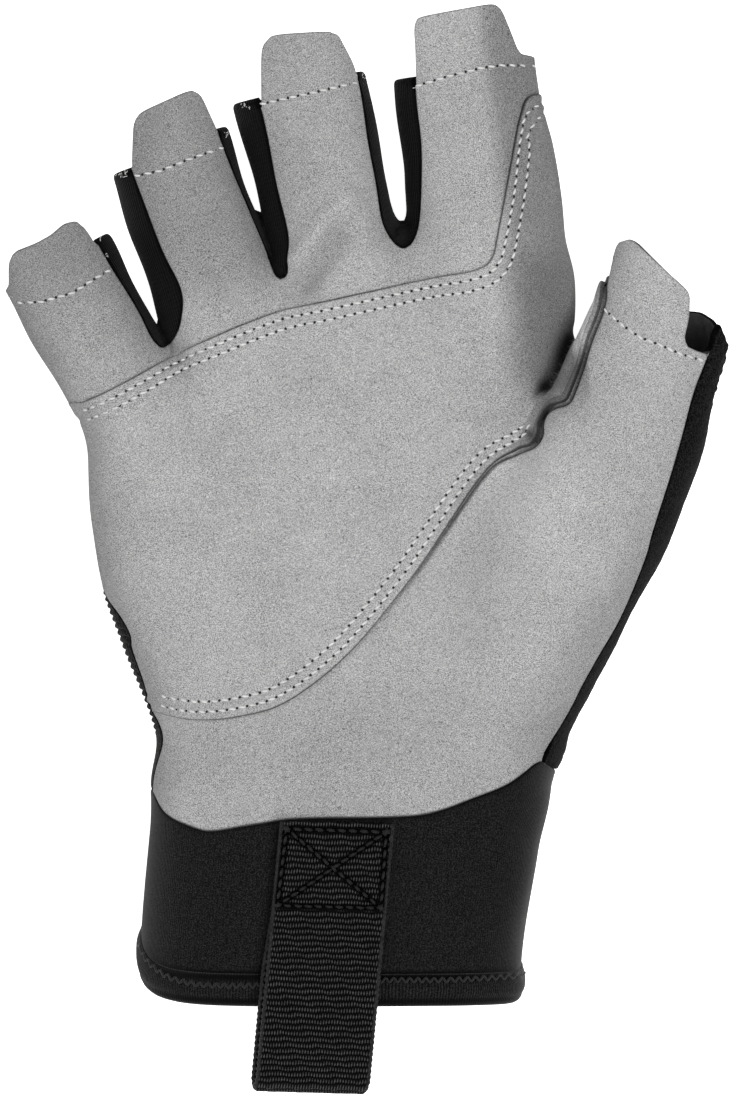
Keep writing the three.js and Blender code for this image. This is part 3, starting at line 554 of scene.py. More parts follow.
class Pattern:
    """Says which panel each point of the form's surface belongs to."""

    # Corners far outside that close two outlines
    ABOVE_CLOSE = ((34, 130), (-100, 130), (-100, 28.1))
    THUMB_BACK_CLOSE = ((100, -46), (100, 50))
    # The cuff's opening: its middle and reach in x and z, its y on the flanks, how far it leans back at its
    # left and right end, how far it moves on the palm side and on the back, how sharply it turns from side
    # to side in its middle and more to the right, and how much less the back moves there
    RIM_MIDDLE = (-6.5, 21)
    RIM_REACH = (36.5, 22)
    RIM_Y = -81.6
    RIM_LEAN = (3.2, 2.8)
    RIM_PALM = 4.7
    RIM_BACK = 5.0
    RIM_SHARPNESS = (2.8, 1.2)
    RIM_RIGHT_EASE = 0.85
    # Over which distance the partings of two tubes blend
    PARTING_BLEND = 2.5
    # The patch in the thumb's crotch: how far it reaches along the thumb and up its side
    CROTCH_LENGTH = 22
    CROTCH_SHARE = 0.3
    # Where the patch covers the web: right of x, between two ys, above z, left of the thumb's side
    WEB_X = 28
    WEB_Y = (22, 60)
    WEB_Z = 9
    WEB_SIDE = -4

    def __init__(self, form: GloveForm) -> None:
        """Lays out the seam lines.

        Args:
            form: The glove's outer surface.
        """
        self.form = form
        self.upper_edge, self.lower_edge = spline(PATCH_UPPER_EDGE), spline(PATCH_LOWER_EDGE)
        self.patch = np.vstack([self.upper_edge, PATCH_RIGHT_CLOSE, self.lower_edge, PATCH_LEFT_CLOSE])
        self.above_patch = np.vstack([self.upper_edge, self.ABOVE_CLOSE])
        self.thumb_back = np.vstack([spline(THUMB_SIDE_SEAM), self.THUMB_BACK_CLOSE])
        self.fourchettes = {Panel[name.upper()]: spline(line) for name, line in FOURCHETTES.items()}
        self.heel = Profile(HEEL_EDGE)
        self.hand_parting = Profile(HAND_PARTING)
        self.tabs = {name: rounded(rows) for name, rows in TABS.items()}
        self.thumb_rim, self.patch_tip = Profile(THUMB_RIM), Profile(PATCH_TIP)

    def rim_y(self, p: Array) -> Array:
        """Returns where the cuff's opening ends, which faces a little towards the palm side.

        Args:
            p: The points.

        Returns:
            The y of the opening at each point.
        """
        across = np.clip((p[:, 0] - self.RIM_MIDDLE[0]) / self.RIM_REACH[0], -1, 1)
        rise = np.clip((p[:, 2] - self.RIM_MIDDLE[1]) / self.RIM_REACH[1], -1, 1)
        sharpness = self.RIM_SHARPNESS[0] + self.RIM_SHARPNESS[1] * across
        turn = np.tanh(sharpness * rise) / np.tanh(sharpness)
        upper = np.maximum(turn, 0)
        lower = np.minimum(turn, 0) * (1 - self.RIM_RIGHT_EASE * np.maximum(across, 0))
        lean = np.where(across > 0, self.RIM_LEAN[1], self.RIM_LEAN[0]) * across
        return self.RIM_Y - lean * (1 - upper) - self.RIM_PALM * upper - self.RIM_BACK * lower

    def parting(self, p: Array, measured: dict) -> Array:
        """Returns how high the seam between palm side and back runs.

        Args:
            p: The points.
            measured: What each tube measures at them.

        Returns:
            The height of the seam at each point.
        """
        total, weights = np.zeros(len(p)), np.zeros(len(p))
        hand_share = self.hand_parting.at(p[:, 1])[0]
        for name, m in measured.items():
            share = hand_share if name == "hand" else FINGER_PARTING
            weight = np.exp(-np.abs(m["distance"]) / self.PARTING_BLEND)
            total += weight * (m["middle"] + share * m["half_height"])
            weights += weight
        return total / np.maximum(weights, 1e-12)

    def label(self, p: Array) -> Array:
        """Returns each point's panel.

        Args:
            p: The points.

        Returns:
            The number of the panel at each point.
        """
        measured, _ = self.form.survey(p)
        names = list(measured)
        nearest = np.argmin([measured[name]["distance"] for name in names], axis=0)
        palm_side = p[:, 2] > self.parting(p, measured)
        found = self.sewn_panels(p, measured["thumb"], nearest == names.index("thumb"), palm_side)
        for name in FINGER_AXES:
            self.open_end(name, p, measured[name], nearest == names.index(name), palm_side, found)
        wrist = p[:, 1] < self.heel.at(p[:, 0])[0]
        above = p[:, 1] - self.rim_y(p)
        band = np.where(above < 0, Panel.OPEN, np.where(above < HEM_HEIGHT, Panel.CUFF_HEM, Panel.CUFF))
        found[wrist] = band[wrist]
        return found

    def sewn_panels(self, p: Array, thumb: dict[str, Array], on_thumb: Array, palm_side: Array) -> Array:
        """Returns each point's panel as the seams divide the hand, before the openings are cut.

        Args:
            p: The points.
            thumb: What the thumb's tube measures at them.
            on_thumb: Which of them are nearest the thumb.
            palm_side: Which of them are on the palm side.

        Returns:
            The number of the panel at each point.
        """
        xy = p[:, :2]
        found = np.where(inside(self.above_patch, xy), Panel.FINGER_PANEL, Panel.THUMB_PANEL)
        low_side = p[:, 2] < thumb["middle"] + self.CROTCH_SHARE * thumb["half_height"]
        crotch = on_thumb & (thumb["side"] < 0) & (thumb["station"] < self.CROTCH_LENGTH) & low_side
        patch = inside(self.patch, xy) | crotch
        found[patch] = Panel.PALM_PATCH
        lapped = np.flatnonzero(patch & ~crotch & palm_side)
        found[lapped[distance_to_line(self.upper_edge, xy[lapped]) < LAP]] = Panel.LAP_UPPER
        found[lapped[distance_to_line(self.lower_edge, xy[lapped]) < LAP]] = Panel.LAP_LOWER
        for panel, outline in self.fourchettes.items():
            found[inside(outline, xy)] = panel
        found[~palm_side] = np.where(on_thumb, Panel.THUMB_BACK, Panel.BACK_PANEL)[~palm_side]
        found[inside(self.thumb_back, xy)] = Panel.THUMB_BACK
        web = (p[:, 0] > self.WEB_X) & (p[:, 1] > self.WEB_Y[0]) & (p[:, 1] < self.WEB_Y[1])
        web &= (p[:, 2] > self.WEB_Z) & (thumb["side"] < self.WEB_SIDE)
        found[web & np.isin(found, (Panel.BACK_PANEL, Panel.THUMB_BACK))] = Panel.PALM_PATCH
        return found

    def open_end(self, name: str, p: Array, m: dict[str, Array], near: Array, palm_side: Array,
                 found: Array) -> None:
        """Cuts the opening of a finger or the thumb, round its tab and the black ends beside it.

        Args:
            name: The finger's name.
            p: The points.
            m: What the finger's tube measures at them.
            near: Which of them are nearest the finger.
            palm_side: Which of them are on the palm side.
            found: The panel at each point, which is changed here.
        """
        thumb_end = name == "thumb"
        upper = p[:, 2] > m["middle"]
        left, right = BLACK_ENDS[name]
        black = np.where(m["side"] < 0, left, right) * (found >= Panel.FOURCHETTE_LITTLE_RING)
        past = near & (m["station"] < np.where(upper & thumb_end, THUMB_DIP, -black))
        tab = inside(self.tabs[name], np.column_stack([-m["station"], m["side"]]))
        grey = Panel.THUMB_PANEL if thumb_end else Panel.FINGER_PANEL
        left_open = np.full(len(p), Panel.OPEN)
        if thumb_end:
            kept = np.isin(found, (Panel.PALM_PATCH, Panel.LAP_LOWER))
            past &= ~kept | (-m["station"] > self.patch_tip.at(m["side"])[0])
            back = (m["side"] > THUMB_RIM[0][0]) & (m["station"] > -self.thumb_rim.at(m["side"])[0])
            back &= ~palm_side | inside(self.thumb_back, p[:, :2])
            left_open[back] = Panel.THUMB_BACK
        found[past] = np.where(tab & upper & (found != Panel.THUMB_BACK), grey, left_open)[past]


class Skin:
    """The form's surface as triangles, each in one panel."""

    # How many cells a cell of the coarse grid is wide, and how many of its cells from the surface it is used
    COARSE = 5
    COARSE_REACH = 1.3
    # Up to which share of an edge a point is moved onto a seam line, and in how many halvings it is found
    SNAP = 0.3
    HALVINGS = 10
    # Up to how many triangles an island goes to the panel round it
    ISLAND = 200
    # How wide a band is finer by the patch's edges and by the rows at the openings, and above which z
    EDGE_BAND = 5.5
    ROW_BAND = 2.5
    BAND_LOW = 12
    # Where the back's ribs show: left of x, between two ys and two zs
    RIB_X = -37
    RIB_Y = (-38, -6)
    RIB_Z = (10, 29)

    def __init__(self, pattern: Pattern) -> None:
        """Meshes the surface, refines it where it has detail and cuts it along the seam lines.

        Args:
            pattern: The seam lines on the form.
        """
        self.form, self.pattern = pattern.form, pattern
        self.points, self.triangles = self.mesh()
        self.drop_open()
        self.refine()
        self.names = self.cut()
        self.join_islands()
        used, triangles = np.unique(self.triangles, return_inverse=True)
        self.points, self.triangles = self.points[used], triangles.reshape(-1, 3)
        self.normals = unit(self.form.gradient(self.points))
        self.index_sides()
        log.info("skin: %d triangles", len(self.triangles))

    def field(self, low: Array, count: Array) -> Array:
        """Returns the distance at a grid's points, worked out finely only near the surface.

        Args:
            low: The grid's lowest corner.
            count: How many points it has each way.

        Returns:
            The distance at each point.
        """
        step = self.COARSE
        coarse_count = -(-count // step) + 1
        axes = [low[a] + CELL * step * np.arange(coarse_count[a]) for a in range(3)]
        coarse = self.form.distance(np.stack(np.meshgrid(*axes, indexing="ij"), -1).reshape(-1, 3))
        coarse = coarse.reshape(coarse_count)
        index = [np.minimum((np.arange(count[a]) + step // 2) // step, coarse_count[a] - 1)
                 for a in range(3)]
        values = coarse[np.ix_(*index)]
        near = np.abs(values) < CELL * step * self.COARSE_REACH
        values[near] = self.form.distance(low + CELL * np.argwhere(near))
        values[values == 0] = 1e-9
        return values

    def corner_groups(self, corners: Array) -> Array:
        """Returns which of a cell's solid corners belong together.

        Args:
            corners: The cell's eight corners.

        Returns:
            For each of the 256 patterns of solid corners, the number of the group that each corner is in.
        """
        groups = np.zeros((256, 8), int)
        for code in range(256):
            left = [c for c in range(8) if code >> c & 1]
            number = 0
            while left:
                group = [left.pop(0)]
                for c in group:
                    joined = [d for d in left if abs(corners[c] - corners[d]).sum() == 1]
                    group += joined
                    left = [d for d in left if d not in joined]
                groups[code, group] = number
                number += 1
        return groups

    def mesh(self) -> tuple[Array, Array]:
        """Meshes the surface on a grid.

        Each grid cell that the surface crosses has one point for each part of the form that reaches into it,
        so close fingers stay apart, and each crossed grid edge has two triangles.

        Returns:
            The points and the triangles.
        """
        low, high = np.array(GRID_LOW), np.array(GRID_HIGH)
        count = np.ceil((high - low) / CELL).astype(int)
        values = self.field(low, count)
        solid = values <= 0
        corners = np.array([[i, j, k] for i in (0, 1) for j in (0, 1) for k in (0, 1)])
        groups = self.corner_groups(corners)
        cells = tuple(count - 1)
        code = np.zeros(cells, int)
        for c, (i, j, k) in enumerate(corners):
            code |= solid[i:i + cells[0], j:j + cells[1], k:k + cells[2]].astype(int) << c

        keys, quads, places = [], [], []
        for axis in range(3):
            step = np.eye(3, dtype=int)[axis]
            s, t = np.eye(3, dtype=int)[(axis + 1) % 3], np.eye(3, dtype=int)[(axis + 2) % 3]
            ahead = np.roll(solid, -1, axis)
            at = np.argwhere(solid != ahead)
            at = at[(at.min(1) > 0) & (at < count - 2).all(1)]
            a, b = values[tuple(at.T)], values[tuple((at + step).T)]
            place = low + CELL * (at + (a / (a - b))[:, None] * step)
            inner = np.where((a <= 0)[:, None], at, at + step)
            around = []
            for m, n in ((1, 1), (0, 1), (0, 0), (1, 0)):
                cell = at - m * s - n * t
                corner = (inner - cell) @ np.array([4, 2, 1])
                number = groups[code[tuple(cell.T)], corner]
                around.append(np.ravel_multi_index(tuple(cell.T), cells) * 4 + number)
            around = np.stack(around, 1)
            keys.append(around)
            places.append(np.repeat(place, 4, axis=0))
            quads.append(np.where((a > 0)[:, None], around[:, ::-1], around))
        unique, number = np.unique(np.concatenate([k.ravel() for k in keys]), return_inverse=True)
        places = np.concatenate(places)
        total = np.bincount(number, minlength=len(unique))
        points = np.stack([np.bincount(number, places[:, c]) for c in range(3)], 1) / total[:, None]
        points = self.form.onto(points)
        quads = np.searchsorted(unique, np.concatenate(quads))
        a, b, c, d = quads.T
        ac, bd = (np.linalg.norm(points[i] - points[j], axis=1) for i, j in ((a, c), (b, d)))
        first = np.stack([np.stack([a, b, c], 1), np.stack([a, c, d], 1)], 1)
        second = np.stack([np.stack([a, b, d], 1), np.stack([b, c, d], 1)], 1)
        return points, np.where((ac < bd)[:, None, None], first, second).reshape(-1, 3)

    def edges(self) -> tuple[Array, Array]:
        """Finds the mesh's edges.

        Returns:
            Each edge's two ends, and for each triangle the numbers of its edges ab, bc and ca.
        """
        pairs = sides_of(self.triangles)
        pairs.sort(axis=1)
        code = pairs[:, 0] * (len(self.points) + 1) + pairs[:, 1]
        unique, number = np.unique(code, return_inverse=True)
        edges = np.stack([unique // (len(self.points) + 1), unique % (len(self.points) + 1)], 1)
        return edges, number.reshape(-1, 3)

    def split(self, edges: Array, of_triangle: Array, chosen: Array, places: Array) -> None:
        """Puts new points on edges and splits the triangles that have them.

        Args:
            edges: Each edge's two points.
            of_triangle: The edges of each triangle.
            chosen: Which edges get a point.
            places: Where the new points are, in the order of the chosen edges.
        """
        number = np.full(len(edges), -1)
        number[chosen] = len(self.points) + np.arange(chosen.sum())
        self.points = np.vstack([self.points, places])
        cut = number[of_triangle]
        total = (cut >= 0).sum(1)
        made = [self.triangles[total == 0]]

        def turned(rows: Array, first: Array) -> list[Array]:
            """Returns corners and cuts of some triangles, turned so that a chosen edge comes first."""
            order = (first[:, None] + np.arange(3)) % 3
            return [np.take_along_axis(values[rows], order, 1).T for values in (self.triangles, cut)]

        rows = total == 1
        (a, b, c), (ab, _, _) = turned(rows, np.argmax(cut[rows] >= 0, axis=1))
        made += [np.stack([a, ab, c], 1), np.stack([ab, b, c], 1)]
        rows = total == 2
        (a, b, c), (_, bc, ca) = turned(rows, np.argmax(cut[rows] < 0, axis=1))
        made += [np.stack([a, b, bc], 1), np.stack([a, bc, ca], 1), np.stack([ca, bc, c], 1)]
        rows = total == 3
        (a, b, c), (ab, bc, ca) = self.triangles[rows].T, cut[rows].T
        made += [np.stack(t, 1) for t in ((a, ab, ca), (ab, b, bc), (ca, bc, c), (ab, bc, ca))]
        self.triangles = np.concatenate(made)

    def drop_open(self) -> None:
        """Drops the triangles that lie wholly past an opening."""
        names = self.pattern.label(self.points)
        self.triangles = self.triangles[(names[self.triangles] != Panel.OPEN).any(1)]

    def refine(self) -> None:
        """Halves the mesh's spacing where stitches or ribs need it."""
        for wanted in (self.near_stitches, self.near_ribs, self.near_ribs):
            edges, of_triangle = self.edges()
            marked = wanted(self.points)
            chosen = marked[edges].all(1)
            middle = self.points[edges[chosen]].mean(1)
            self.split(edges, of_triangle, chosen, self.form.onto(middle, 1))

    def near_stitches(self, p: Array) -> Array:
        """Returns which points lie by a stitched edge on the palm side.

        Args:
            p: The points.

        Returns:
            True for each point near stitches.
        """
        xy = p[:, :2]
        near = distance_to_line(self.pattern.upper_edge, xy) < self.EDGE_BAND
        near |= distance_to_line(self.pattern.lower_edge, xy) < self.EDGE_BAND
        for name, rows in OPENING_ROWS.items():
            near |= distance_to_line(self.form.tubes[name].place(*np.array(rows).T), xy) < self.ROW_BAND
        return near & (p[:, 2] > self.BAND_LOW)

    def near_ribs(self, p: Array) -> Array:
        """Returns which points lie where the back's ribs show from the palm side."""
        _, y, z = p.T
        shown = (y > self.RIB_Y[0]) & (y < self.RIB_Y[1]) & (z > self.RIB_Z[0]) & (z < self.RIB_Z[1])
        return shown & (p[:, 0] < self.RIB_X)

    def cut(self) -> Array:
        """Cuts the triangles along the seam lines.

        Returns:
            Each triangle's panel.
        """
        label = self.pattern.label
        names = label(self.points)
        edges, of_triangle = self.edges()
        crossing = np.flatnonzero(names[edges[:, 0]] != names[edges[:, 1]])
        pairs = np.vstack([edges[crossing], edges[crossing][:, ::-1]])
        low, high = np.zeros(len(pairs)), np.ones(len(pairs))
        start, along = self.points[pairs[:, 0]], self.points[pairs[:, 1]] - self.points[pairs[:, 0]]
        for _ in range(self.HALVINGS):
            middle = (low + high) / 2
            same = label(start + middle[:, None] * along) == names[pairs[:, 0]]
            low, high = np.where(same, middle, low), np.where(same, high, middle)
        share = (low + high) / 2
        on_seam = np.zeros(len(self.points), bool)
        for n in np.argsort(share, kind="stable"):
            i, j = pairs[n]
            if share[n] >= self.SNAP:
                break
            if on_seam[i] or on_seam[j]:
                continue
            self.points[i] = start[n] + share[n] * along[n]
            on_seam[i] = True
        cut = ~on_seam[edges[crossing]].any(1)
        chosen = np.zeros(len(edges), bool)
        chosen[crossing[cut]] = True
        old = len(self.points)
        places = (start + share[:, None] * along)[:len(crossing)][cut]
        self.split(edges, of_triangle, chosen, places)
        self.points = self.form.onto(self.points, 1)
        free = np.append(~on_seam, np.zeros(len(self.points) - old, bool))
        is_free = free[self.triangles]
        first = np.take_along_axis(self.triangles, np.argmax(is_free, 1)[:, None], 1)[:, 0]
        known = is_free.any(1)
        found = np.where(known, names[np.minimum(first, old - 1)], 0)
        found[~known] = label(self.points[self.triangles[~known]].mean(1))
        return found

    def index_sides(self) -> None:
        """Sorts the triangles' sides, so that name_beside finds them."""
        sides = sides_of(self.triangles)
        codes = sides[:, 0] * len(self.points) + sides[:, 1]
        order = np.argsort(codes)
        self.side_codes, self.side_names = codes[order], np.repeat(self.names, 3)[order]

    def name_beside(self, a: Array, b: Array) -> Array:
        """Returns which panel each side of a triangle belongs to.

        Args:
            a: The points that the sides start from.
            b: The points that they end at.

        Returns:
            The number of each side's panel, or OPEN where there is no such side.
        """
        wanted = a * len(self.points) + b
        at = np.minimum(np.searchsorted(self.side_codes, wanted), len(self.side_codes) - 1)
        return np.where(self.side_codes[at] == wanted, self.side_names[at], Panel.OPEN)

    def join_islands(self) -> None:
        """Gives small islands of a panel to the panel round them."""
        edges, of_triangle = self.edges()
        order = np.argsort(of_triangle.ravel(), kind="stable")
        owner, edge = order // 3, of_triangle.ravel()[order]
        same = np.flatnonzero(edge[1:] == edge[:-1])
        pairs = np.stack([owner[same], owner[same + 1]], 1)
        joined = pairs[self.names[pairs[:, 0]] == self.names[pairs[:, 1]]]
        group = np.arange(len(self.triangles))
        while (group[joined[:, 0]] != group[joined[:, 1]]).any():
            ends = group[joined]
            np.minimum.at(group, ends.max(1), ends.min(1))
            while (group[group] != group).any():
                group = group[group]
        size = np.bincount(group, minlength=len(group))
        for number in np.flatnonzero(size):
            name = self.names[number]
            if size[number] > self.ISLAND or name == Panel.OPEN:
                continue
            mine = group == number
            beside = pairs[mine[pairs].sum(1) == 1]
            others = self.names[beside[~mine[beside]]]
            others = others[others != name]
            if len(others):
                self.names[mine] = np.bincount(others).argmax()


class Relief:
    """The low folds, dents, stitch puckers and ribs that stand on the form, and the light and shade painted
    on the cloth.
    """

    # Dents: start and end in x and y, then width and depth, below 0 for a swelling, all above a height
    DENTS = (
        ((-5.6, 60.0), (-11.9, 50.5), 3.0, 2.0), ((-30.0, 52.0), (-24.0, 40.0), 4.0, 0.5),
        ((6.0, 62.0), (12.0, 50.0), 4.0, 0.5), ((-13.0, 55.0), (-3.6, 66.5), 2.4, -1.4),
    )
    DENTS_LOW = 15
    # How much darker the painted shade in a dent's crease is for each millimetre of its depth
    CREASE_SHADE = 0.11
    # The fold where the palm drops to the web of the thumb, from its shallow end to its deep end, and two
    # points on the palm that close its outline
    VALLEY = (
        (31.6, 28.8), (34.3, 30.8), (36.4, 32.4), (37.8, 34.4), (38.9, 36.9), (39.5, 40.2), (39.7, 44.0),
        (39.4, 50.0),
    )
    VALLEY_PALM = ((0, 50), (0, 28.8))
    VALLEY_DEPTH = 2.0
    # The widths of the fold and of its painted shade, on the thumb's side and on the palm's side
    VALLEY_WIDTHS = (1.6, 4.0)
    SHADE_WIDTHS = (0.3, 3.0)
    # How dark the painted shade in the fold and on the flank between the index finger and the thumb is
    FOLD_SHADE = 0.94
    FLANK_SHADE = 0.54
    # The painted shade in the tuck where the fold starts: x, y, radius, shade
    TUCK = (31.9, 21.6, 1.1, 0.75)
    # The round pool of painted light on the thumb's panel beside the patch: x, y, radius, light
    LIT = (28.0, 15.0, 10.0, 0.42)
    # Low waves: how many, how high, and their lengths and seed
    WAVES = 14
    WAVE_HEIGHT = 0.16
    WAVE_LENGTHS = (11, 34)
    WAVE_SEED = 7
    # The dips under the stitches, their width, and the ridge between two rows
    PUCKER = 0.22
    PUCKER_WIDTH = 0.5
    RIDGE = 0.12
    # The line that is pressed into the thumb's panel beside the patch
    GROOVE = 0.9
    GROOVE_WIDTH = 0.45
    # How far a panel lies below the patch that covers it
    SUNK = 0.06
    RIB = 0.22
    RIB_PITCH = 1.27
    # The uneven suede of the thumb's back: how many waves, their lengths, and their height at the wrist and
    # how much more it is by the opening
    KNOBS = 6
    KNOB_LENGTHS = (1.7, 3.1)
    KNOB_HEIGHTS = (0.014, 0.08)

    def __init__(self, pattern: Pattern) -> None:
        """Draws the directions and lengths of the low waves.

        Args:
            pattern: The seam lines on the form.
        """
        self.form, self.pattern = pattern.form, pattern
        self.fold = spline(self.VALLEY)
        draw = np.random.default_rng(self.WAVE_SEED)
        self.directions = unit(draw.normal(size=(self.WAVES, 3)))
        self.lengths = draw.uniform(*self.WAVE_LENGTHS, self.WAVES)
        self.phases = draw.uniform(0, 2 * math.pi, self.WAVES)

    def dents(self, p: Array) -> list[tuple[float, Array]]:
        """Returns each dent's depth, and how near each point is to its line, from 0 to 1."""
        return [(depth, bell(distance_to_line(np.array(ends), p[:, :2]), width))
                for *ends, width, depth in self.DENTS]

    def folds(self, p: Array) -> Array:
        """Returns the height of the low waves and dents.

        Args:
            p: The points.

        Returns:
            The height at each point.
        """
        turns = p @ self.directions.T * (2 * math.pi / self.lengths) + self.phases
        total = self.WAVE_HEIGHT * np.sin(turns).sum(1) / math.sqrt(self.WAVES / 2)
        for depth, near in self.dents(p):
            total -= depth * near * (p[:, 2] > self.DENTS_LOW)
        return total

    def valley(self, p: Array, widths: tuple[float, float]) -> Array:
        """Returns how near each point is to the bottom of the fold at the web of the thumb, from 0 to 1.

        Args:
            p: The points.
            widths: The fold's width on the thumb's side and on the palm's side.

        Returns:
            The share for each point.
        """
        xy = p[:, :2]
        palm = inside(np.vstack([self.fold, self.VALLEY_PALM]), xy)
        along = xy[:, 1] * 0.5 + xy[:, 0] * 0.5
        wide = np.where(palm, widths[1] * (0.35 + 0.65 * smooth_step(29.5, 38, along)), widths[0])
        fade = smooth_step(29.8, 33, along) * smooth_step(48, 37, xy[:, 1])
        return bell(distance_to_line(self.fold, xy), wide) * fade

    def painted_shading_and_tone(self, p: Array, normals: Array) -> Array:
        """Returns the painted shade on the suede, and its tone: painted shade in the dents' creases, in the
        fold at the web of the thumb, in the tuck and on the index finger's far flank, and a tone that is
        darker towards the left fingers, by the little finger and on the heel.

        Args:
            p: The points.
            normals: The directions that they face.

        Returns:
            The share for each point, 1 where nothing darkens it.
        """
        x, y, _ = p.T
        # Painted shade in the creases of the dents
        creases = np.ones(len(p))
        for depth, near in self.dents(p):
            creases -= self.CREASE_SHADE * depth * near
        # Painted shade on the index finger's far flank, where it turns down towards the thumb
        side = self.form.tubes["index"].measure(p)["side"]
        start = -2.5 + 2 * smooth_step(38, 46, y) + 2.5 * smooth_step(50, 62, y)
        flank = smooth_step(start, 6.5, side) * smooth_step(16.8, 15.6, side)
        flank *= 1 - 0.2 * smooth_step(9, 15, side)
        flank *= smooth_step(22, 36, y) * (1 - 0.3 * smooth_step(52, 60, y))
        # The suede's tone, darker towards the left fingers, by the little finger and on the heel
        fingers = 1 - 0.27 * smooth_step(4, -30, x) * smooth_step(40, 58, y)
        little = 1 - 0.16 * smooth_step(-36, -44, x) * smooth_step(26, 40, y)
        heel = 1 - 0.11 * smooth_step(-20, -34, y) * smooth_step(-36, -20, x)
        # Painted shade in the tuck and in the fold at the web of the thumb, left off the walls that face
        # left
        tuck_x, tuck_y, radius, shade = self.TUCK
        tuck = 1 - shade * bell(np.hypot(x - tuck_x, y - tuck_y), radius)
        seen = smooth_step(-0.6, -0.2, normals[:, 0])
        fold = 1 - self.FOLD_SHADE * np.minimum(1.25 * self.valley(p, self.SHADE_WIDTHS), 1) * seen
        return fingers * little * heel * tuck * fold * creases * (1 - self.FLANK_SHADE * flank)

    def thumb_painted_shading(self, p: Array) -> Array:
        """Returns the painted light on the thumb's panel beside the patch, and the painted shadow along the
        patch's lower edge.

        Args:
            p: The points.

        Returns:
            The factor for each point.
        """
        x, y, _ = p.T
        lit_x, lit_y, radius, light = self.LIT
        lit = 1 + light * bell(np.hypot(x - lit_x, y - lit_y), radius)
        # Painted shadow on the thumb's panel along the patch's lower edge
        by_patch = bell(distance_to_line(self.pattern.lower_edge, p[:, :2]), 0.3)
        return lit * (1 - 0.8 * by_patch * smooth_step(-25, 12, y))

    def patch_painted_light(self, p: Array) -> Array:
        """Returns how much painted light brightens the patch where it faces the thumb's opening."""
        x, y, _ = p.T
        light = smooth_step(39.2, 40.2, x) * smooth_step(34, 38.8, y)
        return 1 + light * (1.8 - 0.8 * smooth_step(40, 43, y))

    def cut_edge(self, p: Array) -> Array:
        """Returns how far the patch's raw edge shows along the thumb's panel."""
        by_thumb = distance_to_line(self.pattern.lower_edge, p[:, :2]) < 3
        return by_thumb * (0.3 * smooth_step(-5, 12, p[:, 1]) + 0.7 * smooth_step(17, 25, p[:, 1]))

    def groove(self, p: Array) -> Array:
        """Returns how deep the thumb's panel is pressed in along the palm patch's lower edge."""
        away = distance_to_line(self.pattern.lower_edge, p[:, :2])
        return self.GROOVE * smooth_step(-25, 18, p[:, 1]) * bell(away, self.GROOVE_WIDTH)

    def ribs(self, p: Array) -> tuple[Array, Array]:
        """Returns how far the back's ribs show at each point, and how near it is to a rib's crest."""
        x, y, z = p.T
        shown = smooth_step(-37, -39, x) * smooth_step(9, 12, z) * smooth_step(-36, -33, y)
        return shown, np.abs(np.sin(y / self.RIB_PITCH * math.pi))

    def knobs(self, p: Array) -> Array:
        """Returns the height of the uneven surface of the thumb's black suede.

        Args:
            p: The points.

        Returns:
            The height at each point.
        """
        turns_per_mm = 2 * math.pi / np.linspace(*self.KNOB_LENGTHS, self.KNOBS)
        turns = p @ self.directions[:self.KNOBS].T * turns_per_mm + self.phases[:self.KNOBS]
        low, more = self.KNOB_HEIGHTS
        return (low + more * smooth_step(22, 34, p[:, 1])) * np.sin(turns).sum(1)

    def taper(self, p: Array, normals: Array) -> Array:
        """Returns how much of its height the patch keeps, less where the surface turns down."""
        by_little, elsewhere = smooth_step(0.45, 0.92, normals[:, 2]), smooth_step(-0.1, 0.5, normals[:, 2])
        return np.where(p[:, 0] < -25, by_little, elsewhere)

    def patch(self, p: Array, normals: Array) -> Array:
        """Returns the height of the palm patch, with its puckers along the stitches.

        Args:
            p: The points.
            normals: The directions that they face.

        Returns:
            The height at each point.
        """
        high = PATCH_PROUD * self.taper(p, normals)
        for line in (self.pattern.upper_edge, self.pattern.lower_edge):
            away = distance_to_line(line, p[:, :2])
            for row in ROW_OFFSETS:
                high -= self.PUCKER * bell(away - row, self.PUCKER_WIDTH)
            high += self.RIDGE * bell(away - sum(ROW_OFFSETS) / 2, self.PUCKER_WIDTH)
        return high

    def under(self, p: Array, normals: Array, line: Array) -> Array:
        """Returns the height of a panel that runs on under the patch.

        Args:
            p: The points.
            normals: The directions that they face.
            line: The patch's edge that it passes.

        Returns:
            The height at each point, 0 where nothing covers it.
        """
        covered = inside(self.pattern.patch, p[:, :2])
        sunk = PATCH_PROUD * (self.taper(p, normals) - 1) - self.SUNK
        return np.where(covered, sunk * smooth_step(0, 0.8, distance_to_line(line, p[:, :2])), 0)


@dataclass(frozen=True)
class Cut:
    """How one panel is cut and sewn. Lengths are in millimetres.

    Attributes:
        node: The name of the piece in the part.
        parts: The parts of the skin that it covers.
        slot: Its material slot.
        thickness: How thick the cloth is.
        flat: The width and length that it is cut from, and its area in square centimetres.
        sewn: The rounding of its edge along a seam.
        open_edge: The rounding of its edge along an opening.
        proud: How far it stands out of the form.
        rests_on: The pieces that it is sewn onto.
    """

    node: str
    parts: tuple[Panel, ...]
    slot: str
    thickness: float
    flat: tuple[float, float, float]
    sewn: float = 1.0
    open_edge: float = 0.28
    proud: float = 0.0
    rests_on: tuple[str, ...] = ("finger_panel",)


